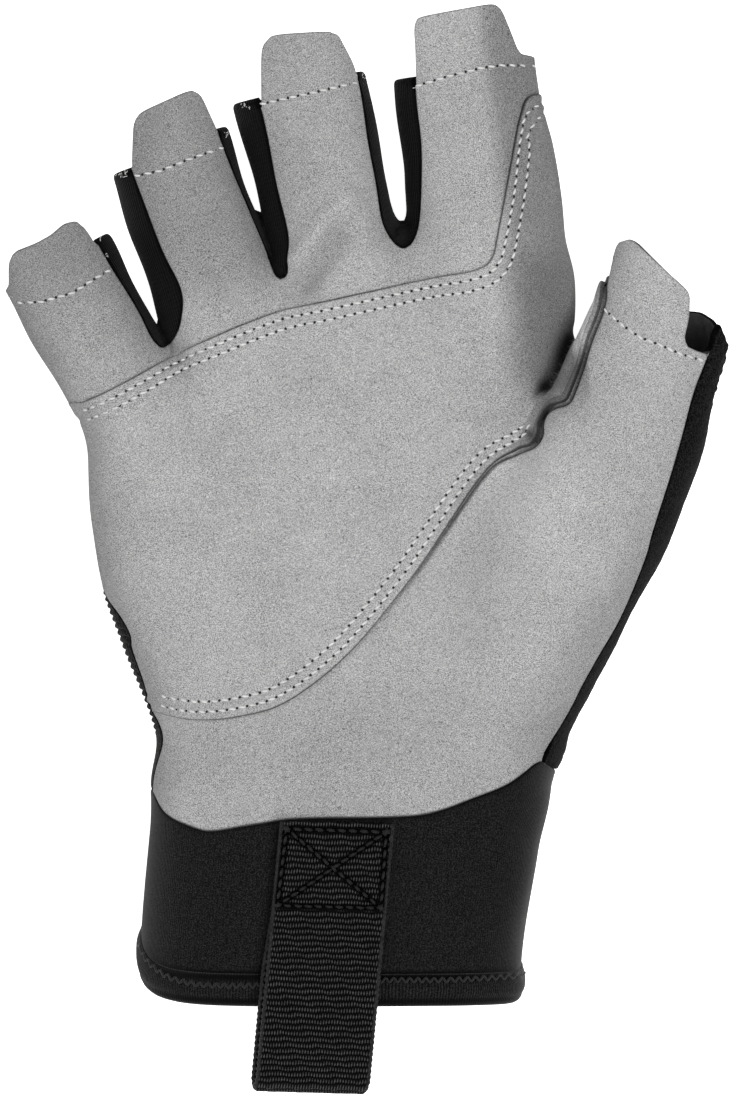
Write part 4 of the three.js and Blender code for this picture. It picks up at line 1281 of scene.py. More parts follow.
class Wall:
    """One panel of the skin made into a closed wall of cloth with rounded edges."""

    # How far from its edge a panel gives way to the edge's rounding, and in how many steps that is rounded
    REACH = 2.6
    ARC_STEPS = 4
    # How far above the inner face the edge ends, in shares of its rounding
    UNDERCUT = 0.6
    # The distance from the edge that the inner face is given
    INNER_DISTANCE = -9.0
    # How high the lump at the heel of the thumb's back and the middle of the hem stand
    KNOB = 0.6
    HEM_SWELL = 0.5
    # How dark the painted shade between two ribs is
    RIB_SHADE = 0.8

    def __init__(self, skin: Skin, relief: Relief, cut: Cut) -> None:
        """Collects the panel's triangles and works out its wall.

        Args:
            skin: The whole surface.
            relief: What stands on it.
            cut: How the panel is cut and sewn.
        """
        self.skin, self.relief, self.cut = skin, relief, cut
        chosen = np.isin(skin.names, cut.parts)
        used, triangles = np.unique(skin.triangles[chosen], return_inverse=True)
        self.triangles = triangles.reshape(-1, 3)
        self.points, self.normals = skin.points[used], skin.normals[used]
        self.find_rim(used)
        self.away = self.inset()
        self.raised = self.points + self.normals * self.heights()[:, None]
        self.build()

    def find_rim(self, used: Array) -> None:
        """Finds the panel's edge, and its rounding and inward direction at each of its points.

        Args:
            used: The numbers of the panel's points in the whole surface.
        """
        count = len(self.skin.points)
        sides = sides_of(self.triangles)
        code = sides[:, 0] * count + sides[:, 1]
        self.rim_sides = sides[~np.isin(code, sides[:, 1] * count + sides[:, 0])]
        a, b = self.rim_sides.T
        beyond = self.skin.name_beside(used[b], used[a])
        overlaid = {Panel.FINGER_PANEL, Panel.THUMB_PANEL, Panel.PALM_PATCH} - set(self.cut.parts)
        radius = np.full(len(beyond), self.cut.sewn)
        radius[beyond == Panel.OPEN] = self.cut.open_edge
        radius[np.isin(beyond, list(overlaid))] = RAW_EDGE
        inward = np.cross(self.normals[a] + self.normals[b], self.points[b] - self.points[a])
        self.rim = np.unique(self.rim_sides)
        self.of_rim = np.full(len(self.points), -1)
        self.of_rim[self.rim] = np.arange(len(self.rim))
        values = np.column_stack([unit(inward), radius])
        for _ in range(3):
            total, weight = np.zeros((len(self.rim), 4)), np.zeros(len(self.rim))
            for end in (a, b):
                np.add.at(total, self.of_rim[end], values)
                np.add.at(weight, self.of_rim[end], 1)
            at_rim = total / weight[:, None]
            values = (at_rim[self.of_rim[a]] + at_rim[self.of_rim[b]]) / 2
        self.inward, self.radius = unit(at_rim[:, :3]), at_rim[:, 3]

    def inset(self) -> Array:
        """Moves the points by the edge inwards to make room for its rounding.

        Returns:
            Each point's distance from the edge.
        """
        a, b = self.of_rim[self.rim_sides].T
        facts = np.column_stack([self.points[self.rim], self.inward, self.radius])
        samples = np.vstack([facts[a] + (facts[b] - facts[a]) * t for t in (0, 0.25, 0.5, 0.75)])
        tree = KDTree(len(samples))
        for i, place in enumerate(samples[:, :3]):
            tree.insert(place, i)
        tree.balance()
        found = [tree.find(place)[1:] for place in self.points]
        nearest, away = np.array([f[0] for f in found]), np.array([f[1] for f in found])
        away[self.rim] = 0
        nearest[self.rim] = -1
        share = np.clip(1 - away / self.REACH, 0, 1)
        step = samples[nearest, 3:6] * samples[nearest, 6:7]
        step[self.rim] = self.inward * self.radius[:, None]
        moved = np.flatnonzero(share > 0)
        form = self.skin.form
        self.points[moved] = form.onto(self.points[moved] + (step * share[:, None])[moved], 1)
        self.normals[moved] = unit(form.gradient(self.points[moved]))
        return away

    def heights(self) -> Array:
        """Returns how far the panel stands out of the form.

        Returns:
            The height at each point.
        """
        p, n, parts = self.points, self.normals, self.cut.parts
        high = self.relief.folds(p) + self.cut.proud
        valley = self.relief.VALLEY_DEPTH * self.relief.valley(p, self.relief.VALLEY_WIDTHS)
        high -= valley * smooth_step(0.1, 0.6, n[:, 2]) * smooth_step(10, 16, p[:, 2])
        if Panel.PALM_PATCH in parts:
            high += self.relief.patch(p, n)
        if Panel.FINGER_PANEL in parts:
            high += self.relief.under(p, n, self.skin.pattern.upper_edge)
        if Panel.THUMB_PANEL in parts:
            high += self.relief.under(p, n, self.skin.pattern.lower_edge) - self.relief.groove(p)
        if Panel.BACK_PANEL in parts:
            shown, crest = self.relief.ribs(p)
            high += self.relief.RIB * (2 * crest - 1) * shown * smooth_step(0, 1.5, self.away)
        if Panel.THUMB_BACK in parts:
            lump = smooth_step(-34.5, -38, p[:, 1]) * smooth_step(-42.4, -39.8, p[:, 1])
            high += self.KNOB * lump + self.relief.knobs(p)
        if Panel.CUFF_HEM in parts:
            high += self.HEM_SWELL * np.sin(np.clip(self.away / HEM_HEIGHT, 0, 1) * math.pi)
        return high

    def build(self) -> None:
        """Works out the wall's points, faces and distances from the edge."""
        thickness = self.cut.thickness
        n, out, r = self.normals[self.rim], -self.inward, np.minimum(self.radius, thickness / 2)[:, None]
        base = self.raised[self.rim]
        rings, distances = [], []
        for step in range(1, self.ARC_STEPS + 1):
            angle = math.pi / 2 * step / self.ARC_STEPS
            wide = self.radius[:, None] * math.sin(angle)
            rings.append(base + out * wide - n * r * (1 - math.cos(angle)))
            distances.append(-self.radius * angle)
        rings.append(base + out * self.radius[:, None] - n * (thickness - r * self.UNDERCUT))
        distances.append(-self.radius * math.pi / 2 - thickness / 2)
        inner = self.raised - self.normals * thickness
        count, width = len(self.points), len(self.rim)
        self.all_points = np.vstack([self.raised, *rings, inner])
        self.all_points[:, 2] = np.maximum(self.all_points[:, 2], 0)
        inner_distances = np.full(count, self.INNER_DISTANCE)
        self.edge_distance = np.concatenate([self.away, *distances, inner_distances])
        first_inner = count + width * len(rings)
        a, b = self.rim_sides.T
        levels = [self.rim] + [count + width * k + np.arange(width) for k in range(len(rings))]
        levels.append(first_inner + self.rim)
        ra, rb = self.of_rim[a], self.of_rim[b]
        faces = [self.triangles, self.triangles[:, ::-1] + first_inner]
        for upper, lower in zip(levels, levels[1:]):
            faces.append(np.stack([upper[rb], upper[ra], lower[ra]], 1))
            faces.append(np.stack([upper[rb], lower[ra], lower[rb]], 1))
        self.faces = np.concatenate(faces)

    def attributes(self) -> dict[str, Array]:
        """Works out what the finishes read at each point.

        Returns:
            The distance from the edge, the place round and along the tube, the painted light and shade with
            the tone, the raw edge that shows, and whether it is ribbed, for each point.
        """
        measured, _ = self.skin.form.survey(self.points)
        names = list(measured)
        nearest = np.argmin([measured[name]["distance"] for name in names], axis=0)
        parts, p = set(self.cut.parts), self.points
        if {Panel.CUFF, Panel.CUFF_HEM} & parts:
            nearest[:] = names.index("hand")
        around, station = np.zeros(len(p)), np.zeros(len(p))
        for i, name in enumerate(names):
            near = nearest == i
            around[near] = self.skin.form.tubes[name].around(p, measured[name])[near]
            station[near] = measured[name]["station"][near]
        rings = (len(self.all_points) - 2 * len(p)) // len(self.rim)
        order = np.concatenate([np.arange(len(p)), *[self.rim] * rings, np.arange(len(p))])
        cut_edge = np.zeros(len(p))
        # Painted shade between the back's ribs on the knits, and the relief's painted shade and tone
        # elsewhere
        if {Panel.BACK_PANEL, Panel.CUFF, Panel.CUFF_HEM} & parts:
            shown, crest = self.relief.ribs(p)
            painted_shading_and_tone = 1 - self.RIB_SHADE * shown * (1 - crest)
        else:
            painted_shading_and_tone = self.relief.painted_shading_and_tone(p, self.normals)
        # Painted light and shadow on the thumb's panel, and painted light on the patch
        if Panel.THUMB_PANEL in parts:
            painted_shading_and_tone *= self.relief.thumb_painted_shading(p)
        if Panel.PALM_PATCH in parts:
            painted_shading_and_tone *= self.relief.patch_painted_light(p)
            cut_edge = self.relief.cut_edge(p)
        return {"edge_distance": self.edge_distance, "around": around[order], "station": station[order],
                "painted_shading_and_tone": painted_shading_and_tone[order], "cut_edge": cut_edge[order],
                "ribbed": np.full(len(order), float(Panel.CUFF_HEM in parts))}

    def measure(self) -> float:
        """Returns the area of the outer side in square centimetres."""
        p = self.raised[self.triangles]
        return float(np.linalg.norm(np.cross(p[:, 1] - p[:, 0], p[:, 2] - p[:, 0]), axis=1).sum() / 200)


def make_piece(name: str, points: Array, faces: Array, attributes: dict[str, Array] | None = None,
               smooth: bool = True) -> bpy.types.Object:
    """Makes a mesh object from points in millimetres.

    Args:
        name: The piece's name.
        points: Its points, one row each.
        faces: Its triangles, three point numbers each.
        attributes: Numbers kept for each point, by name.
        smooth: Whether the faces are shaded smoothly.

    Returns:
        The new object.
    """
    mesh = bpy.data.meshes.new(name)
    mesh.vertices.add(len(points))
    mesh.vertices.foreach_set("co", (points * MM).astype(np.float32).ravel())
    mesh.loops.add(faces.size)
    mesh.loops.foreach_set("vertex_index", faces.astype(np.int32).ravel())
    mesh.polygons.add(len(faces))
    mesh.polygons.foreach_set("loop_start", np.arange(0, faces.size, 3, dtype=np.int32))
    mesh.update(calc_edges=True)
    mesh.polygons.foreach_set("use_smooth", np.full(len(faces), smooth))
    for key, values in (attributes or {}).items():
        layer = mesh.attributes.new(key, "FLOAT", "POINT")
        layer.data.foreach_set("value", values.astype(np.float32))
    piece = bpy.data.objects.new(name, mesh)
    bpy.context.scene.collection.objects.link(piece)
    return piece


def prototype(steps: tuple) -> tuple[Array, Array]:
    """Models one small part with Blender's own operators and returns its points and triangles.

    Args:
        steps: The operators that make and shape it, each with its settings.

    Returns:
        The points in the operators' units, and the triangles.
    """
    for operator, settings in steps:
        operator(**settings)
    made = bpy.context.object
    bpy.ops.object.mode_set(mode="EDIT")
    bpy.ops.mesh.select_all(action="SELECT")
    bpy.ops.mesh.quads_convert_to_tris()
    bpy.ops.object.mode_set(mode="OBJECT")
    mesh = made.data
    points, faces = np.empty(len(mesh.vertices) * 3), np.empty(len(mesh.polygons) * 3, dtype=np.int32)
    mesh.vertices.foreach_get("co", points)
    mesh.polygons.foreach_get("vertices", faces)
    bpy.data.objects.remove(made)
    bpy.data.meshes.remove(mesh)
    return points.reshape(-1, 3), faces.reshape(-1, 3)


def thread_stitch(length: float, thickness: float) -> tuple[Array, Array]:
    """Returns one stitch that lies along X and dips at both ends.

    Args:
        length: How long it is.
        thickness: How thick the thread is.

    Returns:
        The points and the triangles.
    """
    dip = 0.7
    points, faces = prototype((
        (bpy.ops.mesh.primitive_uv_sphere_add, {"segments": 8, "ring_count": 6, "radius": 1.0}),
    ))
    points = points[:, [2, 0, 1]] * (length / 2, thickness / 2, thickness / 2)
    points[:, 2] -= thickness * dip * (points[:, 0] / (length / 2)) ** 2
    return points, faces


def needle_hole(radius: float) -> tuple[Array, Array]:
    """Returns one needle hole's painted shade, a small dark disc."""
    return prototype((
        (bpy.ops.mesh.primitive_circle_add, {"vertices": 8, "radius": radius, "fill_type": "TRIFAN"}),
    ))


def copies(part: tuple[Array, Array], places: Array, along: Array, normals: Array,
           slant: float = 0.0) -> tuple[Array, Array]:
    """Returns the points and triangles of copies of a part, one at each place.

    Args:
        part: The part's points and triangles.
        places: Where the copies are.
        along: Which way each copy's X points.
        normals: Which way each copy's Z points.
        slant: How many degrees each copy is turned about its Z.

    Returns:
        The points and the triangles of all copies together.
    """
    points, faces = part
    along = unit(along - normals * (along * normals).sum(1)[:, None])
    across = np.cross(normals, along)
    turn = math.radians(slant)
    x_axis = along * math.cos(turn) + across * math.sin(turn)
    y_axis = np.cross(normals, x_axis)
    frames = np.stack([x_axis, y_axis, normals], 1)
    moved = places[:, None] + points @ frames
    numbers = faces[None] + len(points) * np.arange(len(places))[:, None, None]
    return moved.reshape(-1, 3), numbers.reshape(-1, 3)


def evenly(line: Array, pitch: float) -> Array:
    """Returns points along a line at an even pitch.

    Args:
        line: The line's points, one row each.
        pitch: How far apart the new points are at least.

    Returns:
        The new points, one row each.
    """
    lengths = lengths_along(line)
    count = max(int(lengths[-1] / pitch), 1)
    where = np.linspace(0, lengths[-1], count + 1)
    return np.stack([np.interp(where, lengths, column) for column in line.T], 1)


def beside(line: Array, offset: float) -> Array:
    """Returns the line that runs at an even distance to the right of a line.

    Args:
        line: The line's points, one row each.
        offset: The distance.

    Returns:
        The new line's points, without those that a bend brings too near.
    """
    slack = 0.12
    along = unit(np.gradient(line, axis=0))
    moved = line + offset * np.column_stack([along[:, 1], -along[:, 0]])
    return moved[distance_to_line(line, moved) > abs(offset) - slack]


def closed_tube(count: int, sides: int) -> Array:
    """Returns the triangles of a closed tube whose points are numbered section by section.

    Args:
        count: How many sections it has.
        sides: How many points each section has.

    Returns:
        Three point numbers for each triangle.
    """
    i, j = np.meshgrid(np.arange(count - 1), np.arange(sides), indexing="ij")
    a, b = i * sides + j, i * sides + (j + 1) % sides
    wall = np.concatenate([np.stack([a, b, b + sides], -1), np.stack([a, b + sides, a + sides], -1)])
    fan = np.stack([np.zeros(sides - 2, int), np.arange(2, sides), np.arange(1, sides - 1)], 1)
    return np.vstack([wall.reshape(-1, 3), fan, fan[:, ::-1] + (count - 1) * sides])


def tube(path: Array, radius: float, sides: int = 6) -> tuple[Array, Array]:
    """Returns a round thread along a path, its ends closed.

    Args:
        path: The thread's middle line, one row for each point.
        radius: The thread's radius.
        sides: How many points it has round it.

    Returns:
        The points and the triangles.
    """
    along = unit(np.gradient(path, axis=0))
    side = unit(np.cross(along, (0.3, 0.2, 1.0)))
    up = np.cross(side, along)
    turns = np.linspace(0, 2 * math.pi, sides, endpoint=False)
    rings = [path + radius * (math.cos(t) * side + math.sin(t) * up) for t in turns]
    return np.stack(rings, 1).reshape(-1, 3), closed_tube(len(path), sides)


def together(parts: list[tuple[Array, Array]]) -> tuple[Array, Array]:
    """Joins several parts into one.

    Args:
        parts: Each part's points and triangles.

    Returns:
        The points and the triangles of all of them.
    """
    starts = np.cumsum([0] + [len(points) for points, _ in parts[:-1]])
    return (np.vstack([points for points, _ in parts]),
            np.vstack([faces + start for (_, faces), start in zip(parts, starts)]))


class Shader:
    """A material's nodes, round one Principled shader."""

    def __init__(self, name: str) -> None:
        """Starts the material with its shader and the object's own coordinates.

        Args:
            name: The material's name.
        """
        self.material = bpy.data.materials.new(name)
        self.material.use_nodes = True
        self.tree = self.material.node_tree
        self.tree.nodes.clear()
        output = self.tree.nodes.new("ShaderNodeOutputMaterial")
        self.surface = self.tree.nodes.new("ShaderNodeBsdfPrincipled")
        self.tree.links.new(self.surface.outputs[0], output.inputs[0])
        self.place = self.tree.nodes.new("ShaderNodeTexCoord").outputs["Object"]

    def feed(self, socket: bpy.types.NodeSocket, value: object) -> None:
        """Links a socket to another node's output, or sets its value.

        Args:
            socket: The socket.
            value: The other node's output, or the value.
        """
        if isinstance(value, bpy.types.NodeSocket):
            self.tree.links.new(value, socket)
        else:
            socket.default_value = value

    def add(self, kind: str, inputs: dict, output: int | str = 0,
            **settings: object) -> bpy.types.NodeSocket:
        """Adds a node.

        Args:
            kind: The node's type, without its prefix.
            inputs: A value or another node's output for each input.
            output: Which of its outputs is returned.
            settings: The node's own settings.

        Returns:
            The node's output.
        """
        node = self.tree.nodes.new("ShaderNode" + kind)
        for key, value in settings.items():
            setattr(node, key, value)
        for key, value in inputs.items():
            self.feed(node.inputs[key], value)
        return node.outputs[output]

    def math(self, operation: str, a: object, b: object = 0.0) -> bpy.types.NodeSocket:
        """Adds a Math node on two values."""
        return self.add("Math", {0: a, 1: b}, operation=operation)

    def noise(self, per_metre: float, detail: float = 2.0, roughness: float = 0.5) -> bpy.types.NodeSocket:
        """Adds noise in the object's own coordinates."""
        return self.add("TexNoise", {"Vector": self.place, "Scale": per_metre, "Detail": detail,
                                     "Roughness": roughness})

    def step(self, value: object, low: float, high: float, start: float = 0.0,
             end: float = 1.0) -> bpy.types.NodeSocket:
        """Adds a smooth step.

        Args:
            value: What it reads.
            low: Where it starts.
            high: Where it ends.
            start: Its result at low.
            end: Its result at high.

        Returns:
            The result's socket.
        """
        return self.add("MapRange", {"Value": value, "From Min": low, "From Max": high, "To Min": start,
                                     "To Max": end}, interpolation_type="SMOOTHSTEP")

    def attribute(self, name: str) -> bpy.types.NodeSocket:
        """Adds a number kept for each point."""
        return self.add("Attribute", {}, "Fac", attribute_name=name)

    def waves(self, value: object, pitch: float) -> bpy.types.NodeSocket:
        """Adds waves from 0 to 1 over a length."""
        turns = self.math("SINE", self.math("MULTIPLY", value, 2 * math.pi / pitch))
        return self.math("ADD", self.math("MULTIPLY", turns, 0.5), 0.5)

    def varied(self, terms: list[tuple[bpy.types.NodeSocket, float]]) -> bpy.types.NodeSocket:
        """Adds up values about one half into a factor about 1.

        Args:
            terms: Each value, with its weight.

        Returns:
            The factor.
        """
        total = 1.0
        for value, weight in terms:
            part = self.math("MULTIPLY", self.math("SUBTRACT", value, 0.5), weight)
            total = self.math("ADD", part, total)
        return total

    def paint(self, color: tuple, factor: object) -> None:
        """Feeds the base colour with a colour times a factor."""
        scaled = self.add("VectorMath", {0: color, "Scale": factor}, operation="SCALE")
        self.feed(self.surface.inputs["Base Color"], scaled)

    def bump(self, height: object, distance: float, strength: float = 1.0) -> None:
        """Feeds the normal with a bump of the given height in millimetres."""
        made = self.add("Bump", {"Height": height, "Distance": distance * MM, "Strength": strength})
        self.feed(self.surface.inputs["Normal"], made)

    def gloss(self, roughness: float, specular: float = 0.3, sheen: float = 0.0,
              sheen_roughness: float = 0.4) -> None:
        """Sets how the surface shines.

        Args:
            roughness: The shader's roughness.
            specular: Its specular level.
            sheen: How much sheen it has.
            sheen_roughness: The sheen's roughness.
        """
        values = {"Roughness": roughness, "Specular IOR Level": specular, "Sheen Weight": sheen,
                  "Sheen Roughness": sheen_roughness}
        for key, value in values.items():
            self.feed(self.surface.inputs[key], value)


@dataclass(frozen=True)
class Suede:
    """A brushed suede with a fine mottled grain."""

    name: str
    color: tuple[float, float, float]
    grain: float = 3.2
    sheen: float = 0.06
    specular: float = 0.12
    # How often the grain repeats in a metre
    fineness: float = 5200.0
    # How light the wrong side is, and how light the painted shade leaves the sewn edge's rounding
    inner: float = 0.25
    edge_light: float = 0.2
    # How far in the raw edge reaches and where its line runs, in millimetres
    lap: tuple[float, float] = (1.25, 1.1)

    def raw_edge(self, shader: Shader, away: bpy.types.NodeSocket) -> bpy.types.NodeSocket:
        """Adds how much darker the cloth is in the band and the line along its raw edge.

        Args:
            shader: The material's nodes.
            away: The distance from the edge.

        Returns:
            The factor's socket.
        """
        reach, middle = self.lap
        shown = shader.attribute("cut_edge")
        band = shader.math("MULTIPLY", shader.step(away, reach, reach - 0.3, 0.0, 0.5), shown)
        off_line = shader.math("ABSOLUTE", shader.math("SUBTRACT", away, middle))
        line = shader.math("MULTIPLY", shader.step(off_line, 0.16, 0.04, 0.0, 0.3), shown)
        return shader.math("SUBTRACT", 1.0, shader.math("ADD", band, line))

    def material(self) -> bpy.types.Material:
        """Makes the finish.

        Returns:
            The material.
        """
        shader = Shader(self.name)
        fine, middle = shader.noise(self.fineness, 1, 0.8), shader.noise(1500, 2)
        broad, clouds, specks = shader.noise(60, 3), shader.noise(260, 2), shader.noise(3000, 1)
        factor = shader.varied([(fine, self.grain), (middle, self.grain * 0.1), (broad, 0.32),
                                (clouds, 0.14)])
        factor = shader.math("MULTIPLY", factor, shader.step(specks, 0.25, 0.33, 0.4, 1.0))
        # The painted light and shade and the tone that each point keeps
        factor = shader.math("MULTIPLY", factor, shader.attribute("painted_shading_and_tone"))
        away = shader.attribute("edge_distance")
        # Painted shade on the rounding where the cloth turns down into its edge
        edge = shader.step(away, -0.5, 0.1, self.edge_light, 1.0)
        wrong_side = shader.step(away, -3, -6, 0, self.inner)
        edge = shader.math("MULTIPLY", edge, self.raw_edge(shader, away))
        shader.paint(self.color, shader.math("MAXIMUM", shader.math("MULTIPLY", factor, edge), wrong_side))
        shader.bump(shader.math("ADD", fine, middle), 0.12)
        shader.gloss(0.95, self.specular, self.sheen)
        return shader.material


@dataclass(frozen=True)
class Knit:
    """A black knit with fine lines across a number that is kept for each point, in millimetres."""

    name: str
    color: tuple[float, float, float]
    along: str
    pitch: float
    second_pitch: float
    depth: float = 0.12
    contrast: float = 0.9
    fuzz: float = 4.0
    roughness: float = 0.75
    specular: float = 0.04
    sheen: float = 0.03

    def material(self) -> bpy.types.Material:
        """Makes the finish.

        Returns:
            The material.
        """
        shader = Shader(self.name)
        wander = shader.math("MULTIPLY", shader.noise(500, 1), self.pitch * 0.5)
        lines = shader.waves(shader.math("ADD", shader.attribute(self.along), wander), self.pitch)
        other = "around" if self.along == "station" else "station"
        stitches = shader.waves(shader.math("ADD", shader.attribute(other), wander), self.second_pitch)
        fuzz = shader.noise(4300, 2, 0.7)
        # On the hem, painted light on the ribs and painted shade between them
        ribbed = shader.math("MULTIPLY", shader.math("SUBTRACT", lines, 0.5), shader.attribute("ribbed"))
        factor = shader.varied([(lines, self.contrast), (stitches, self.contrast * 0.4), (fuzz, self.fuzz),
                                (shader.math("ADD", ribbed, 0.5), 1.6)])
        away = shader.attribute("edge_distance")
        wrong_side = shader.step(away, -3, -6, 0, 1.2)
        # Painted shade from 0.8 mm inside the edge down over its rounding, and the painted shade and tone
        # that each point keeps
        edge = shader.math("MAXIMUM", shader.step(away, -0.6, 0.8, 0.1, 1.0), wrong_side)
        edge = shader.math("MULTIPLY", edge, shader.attribute("painted_shading_and_tone"))
        shader.paint(self.color, shader.math("MULTIPLY", factor, edge))
        shader.bump(shader.math("ADD", lines, shader.math("MULTIPLY", stitches, 0.3)), self.depth)
        shader.gloss(self.roughness, self.specular, self.sheen)
        return shader.material


@dataclass(frozen=True)
class Thread:
    """A twisted thread."""

    name: str
    color: tuple[float, float, float]

    def material(self) -> bpy.types.Material:
        """Makes the finish.

        Returns:
            The material.
        """
        shader = Shader(self.name)
        shader.paint(self.color, shader.varied([(shader.noise(2500, 2), 0.5), (shader.noise(300, 1), 0.5)]))
        shader.gloss(0.7, 0.3, 0.1)
        return shader.material


@dataclass(frozen=True)
class Webbing:
    """A ribbed black webbing. Lengths are in millimetres."""

    name: str
    color: tuple[float, float, float]
    bead: float = 0.53
    half: float = 10.85
    selvedge_light: float = 2.2

    def material(self) -> bpy.types.Material:
        """Makes the finish.

        Returns:
            The material.
        """
        shader = Shader(self.name)
        rib = shader.attribute("rib")
        row = shader.math("FLOOR", rib)
        across = shader.math("ADD", shader.attribute("across"), shader.math("MULTIPLY", row, self.bead / 2))
        beads = shader.waves(across, self.bead)
        crest = shader.math("SINE", shader.math("MULTIPLY", shader.math("FRACT", rib), math.pi))
        raised = shader.math("MULTIPLY", beads, crest)
        fuzz = shader.noise(2500, 2, 0.7)
        off_middle = shader.math("ABSOLUTE", shader.attribute("across"))
        selvedge = shader.step(off_middle, self.half - 0.8, self.half - 0.4)
        # The weave's beads, with painted light on their crests and painted shade between them
        bright = shader.step(raised, 0.15, 0.85, 0.05, 6.0)
        bright = shader.add("Mix", {0: selvedge, 2: bright, 3: self.selvedge_light})
        # Painted shade in the grooves that the boxed cross's stitches press in
        sewn = shader.step(shader.attribute("sewn"), 0.15, 0.7, 1.0, 0.02)
        factor = shader.math("MULTIPLY", shader.varied([(fuzz, 2.4), (shader.noise(400, 2), 0.8)]), sewn)
        shader.paint(self.color, shader.math("MULTIPLY", bright, factor))
        shader.bump(raised, 0.25)
        shader.gloss(0.6, 0.06, 0.0)
        return shader.material


@dataclass(frozen=True)
class Floor:
    """A pale matt backdrop that glows a little, as a lit table does."""

    name: str
    color: tuple[float, float, float]
    glow: float = 1.0

    def material(self) -> bpy.types.Material:
        """Makes the finish.

        Returns:
            The material.
        """
        shader = Shader(self.name)
        shader.paint(self.color, shader.varied([(shader.noise(3, 1), 0.004)]))
        shader.gloss(1.0, 0.0)
        shader.surface.inputs["Emission Color"].default_value = (*self.color, 1)
        shader.surface.inputs["Emission Strength"].default_value = self.glow
        return shader.material


def dress(piece: bpy.types.Object, material: bpy.types.Material, slot: str | None = None,
          node: str | None = None) -> None:
    """Gives a piece its finish and its body.

    Args:
        piece: The piece.
        material: Its finish.
        slot: The part's material slot, where it has one; not used.
        node: The part's node that it stands for, where it does.
    """
    piece.data.materials.append(material)
    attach(piece, BODY)
    if node:
        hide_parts(node)
    log.info("%s: %d triangles", piece.name, len(piece.data.polygons))


@dataclass
class ClothPanels:
    """All the glove's panels of cloth, with how each is cut."""

    cuts: tuple[Cut, ...] = (
        Cut("finger_panel", (Panel.FINGER_PANEL, Panel.LAP_UPPER), "grey_suede", 1.4, (112, 82, 41), 0.5,
            rests_on=("back_panel",)),
        Cut("palm_patch", (Panel.PALM_PATCH, Panel.LAP_UPPER, Panel.LAP_LOWER), "grey_suede", 1.0,
            (125, 110, 68), 0.5, rests_on=("finger_panel", "thumb_panel")),
        Cut("thumb_panel", (Panel.THUMB_PANEL, Panel.LAP_LOWER), "grey_suede", 1.4, (110, 115, 52), 0.5,
            rests_on=("palm_patch", "thumb_back")),
        *(Cut(name, (Panel[name.upper()],), "black_strip_knit", 1.3, (24, 44, 8), 0.8, 1.1)
          for name in FOURCHETTES),
        Cut("back_panel", (Panel.BACK_PANEL,), "black_back_knit", 1.8, (125, 145, 115), 0.6, 0.8,
            rests_on=("finger_panel", "palm_patch")),
        Cut("thumb_back", (Panel.THUMB_BACK,), "black_suede", 1.5, (60, 105, 44), 0.6, 0.6,
            rests_on=("thumb_panel", "palm_patch")),
        Cut("cuff", (Panel.CUFF,), "black_stretch", 2.4, (190, 34, 48), 0.6, 1.0,
            rests_on=("thumb_panel", "back_panel")),
        Cut("cuff_hem", (Panel.CUFF_HEM,), "black_stretch", 3.0, (190, 12, 12.6), 1.2, 1.5, 0.4, ("cuff",)),
    )

    def finishes(self) -> dict[str, bpy.types.Material]:
        """Makes the finish for each material slot.

        Returns:
            The materials, by slot.
        """
        return {
            "grey_suede": Suede("grey_suede_finish", (0.385, 0.385, 0.385)).material(),
            "black_suede": Suede("black_suede_finish", (0.008, 0.008, 0.008), grain=9.0, sheen=0.02,
                                 specular=0.03, fineness=3000.0, inner=7.0).material(),
            "black_strip_knit": Knit("strip_knit_finish", (0.006, 0.006, 0.006), "around", 0.62,
                                     0.8).material(),
            "black_back_knit": Knit("back_knit_finish", (0.006, 0.006, 0.006), "station", 1.6, 1.1,
                                    depth=0.25).material(),
            "black_stretch": Knit("stretch_finish", (0.0075, 0.0075, 0.0075), "around", 0.57, 0.9,
                                  depth=0.04, contrast=0.4, fuzz=14.0, roughness=0.7, specular=0.05,
                                  sheen=0.12).material(),
        }

    def build(self, skin: Skin, relief: Relief) -> None:
        """Makes each panel from the skin and dresses it.

        Args:
            skin: The whole surface.
            relief: What stands on it.
        """
        finishes = self.finishes()
        for cut in self.cuts:
            wall = Wall(skin, relief, cut)
            piece = make_piece(f"{cut.node}_cloth", wall.all_points, wall.faces, wall.attributes())
            dress(piece, finishes[cut.slot], cut.slot, cut.node)
            width, length, area = cut.flat
            log.info("%s: %.1f cm2 of cloth, cut %.1f cm2", cut.node, wall.measure(), area)
            list(cut.rests_on)


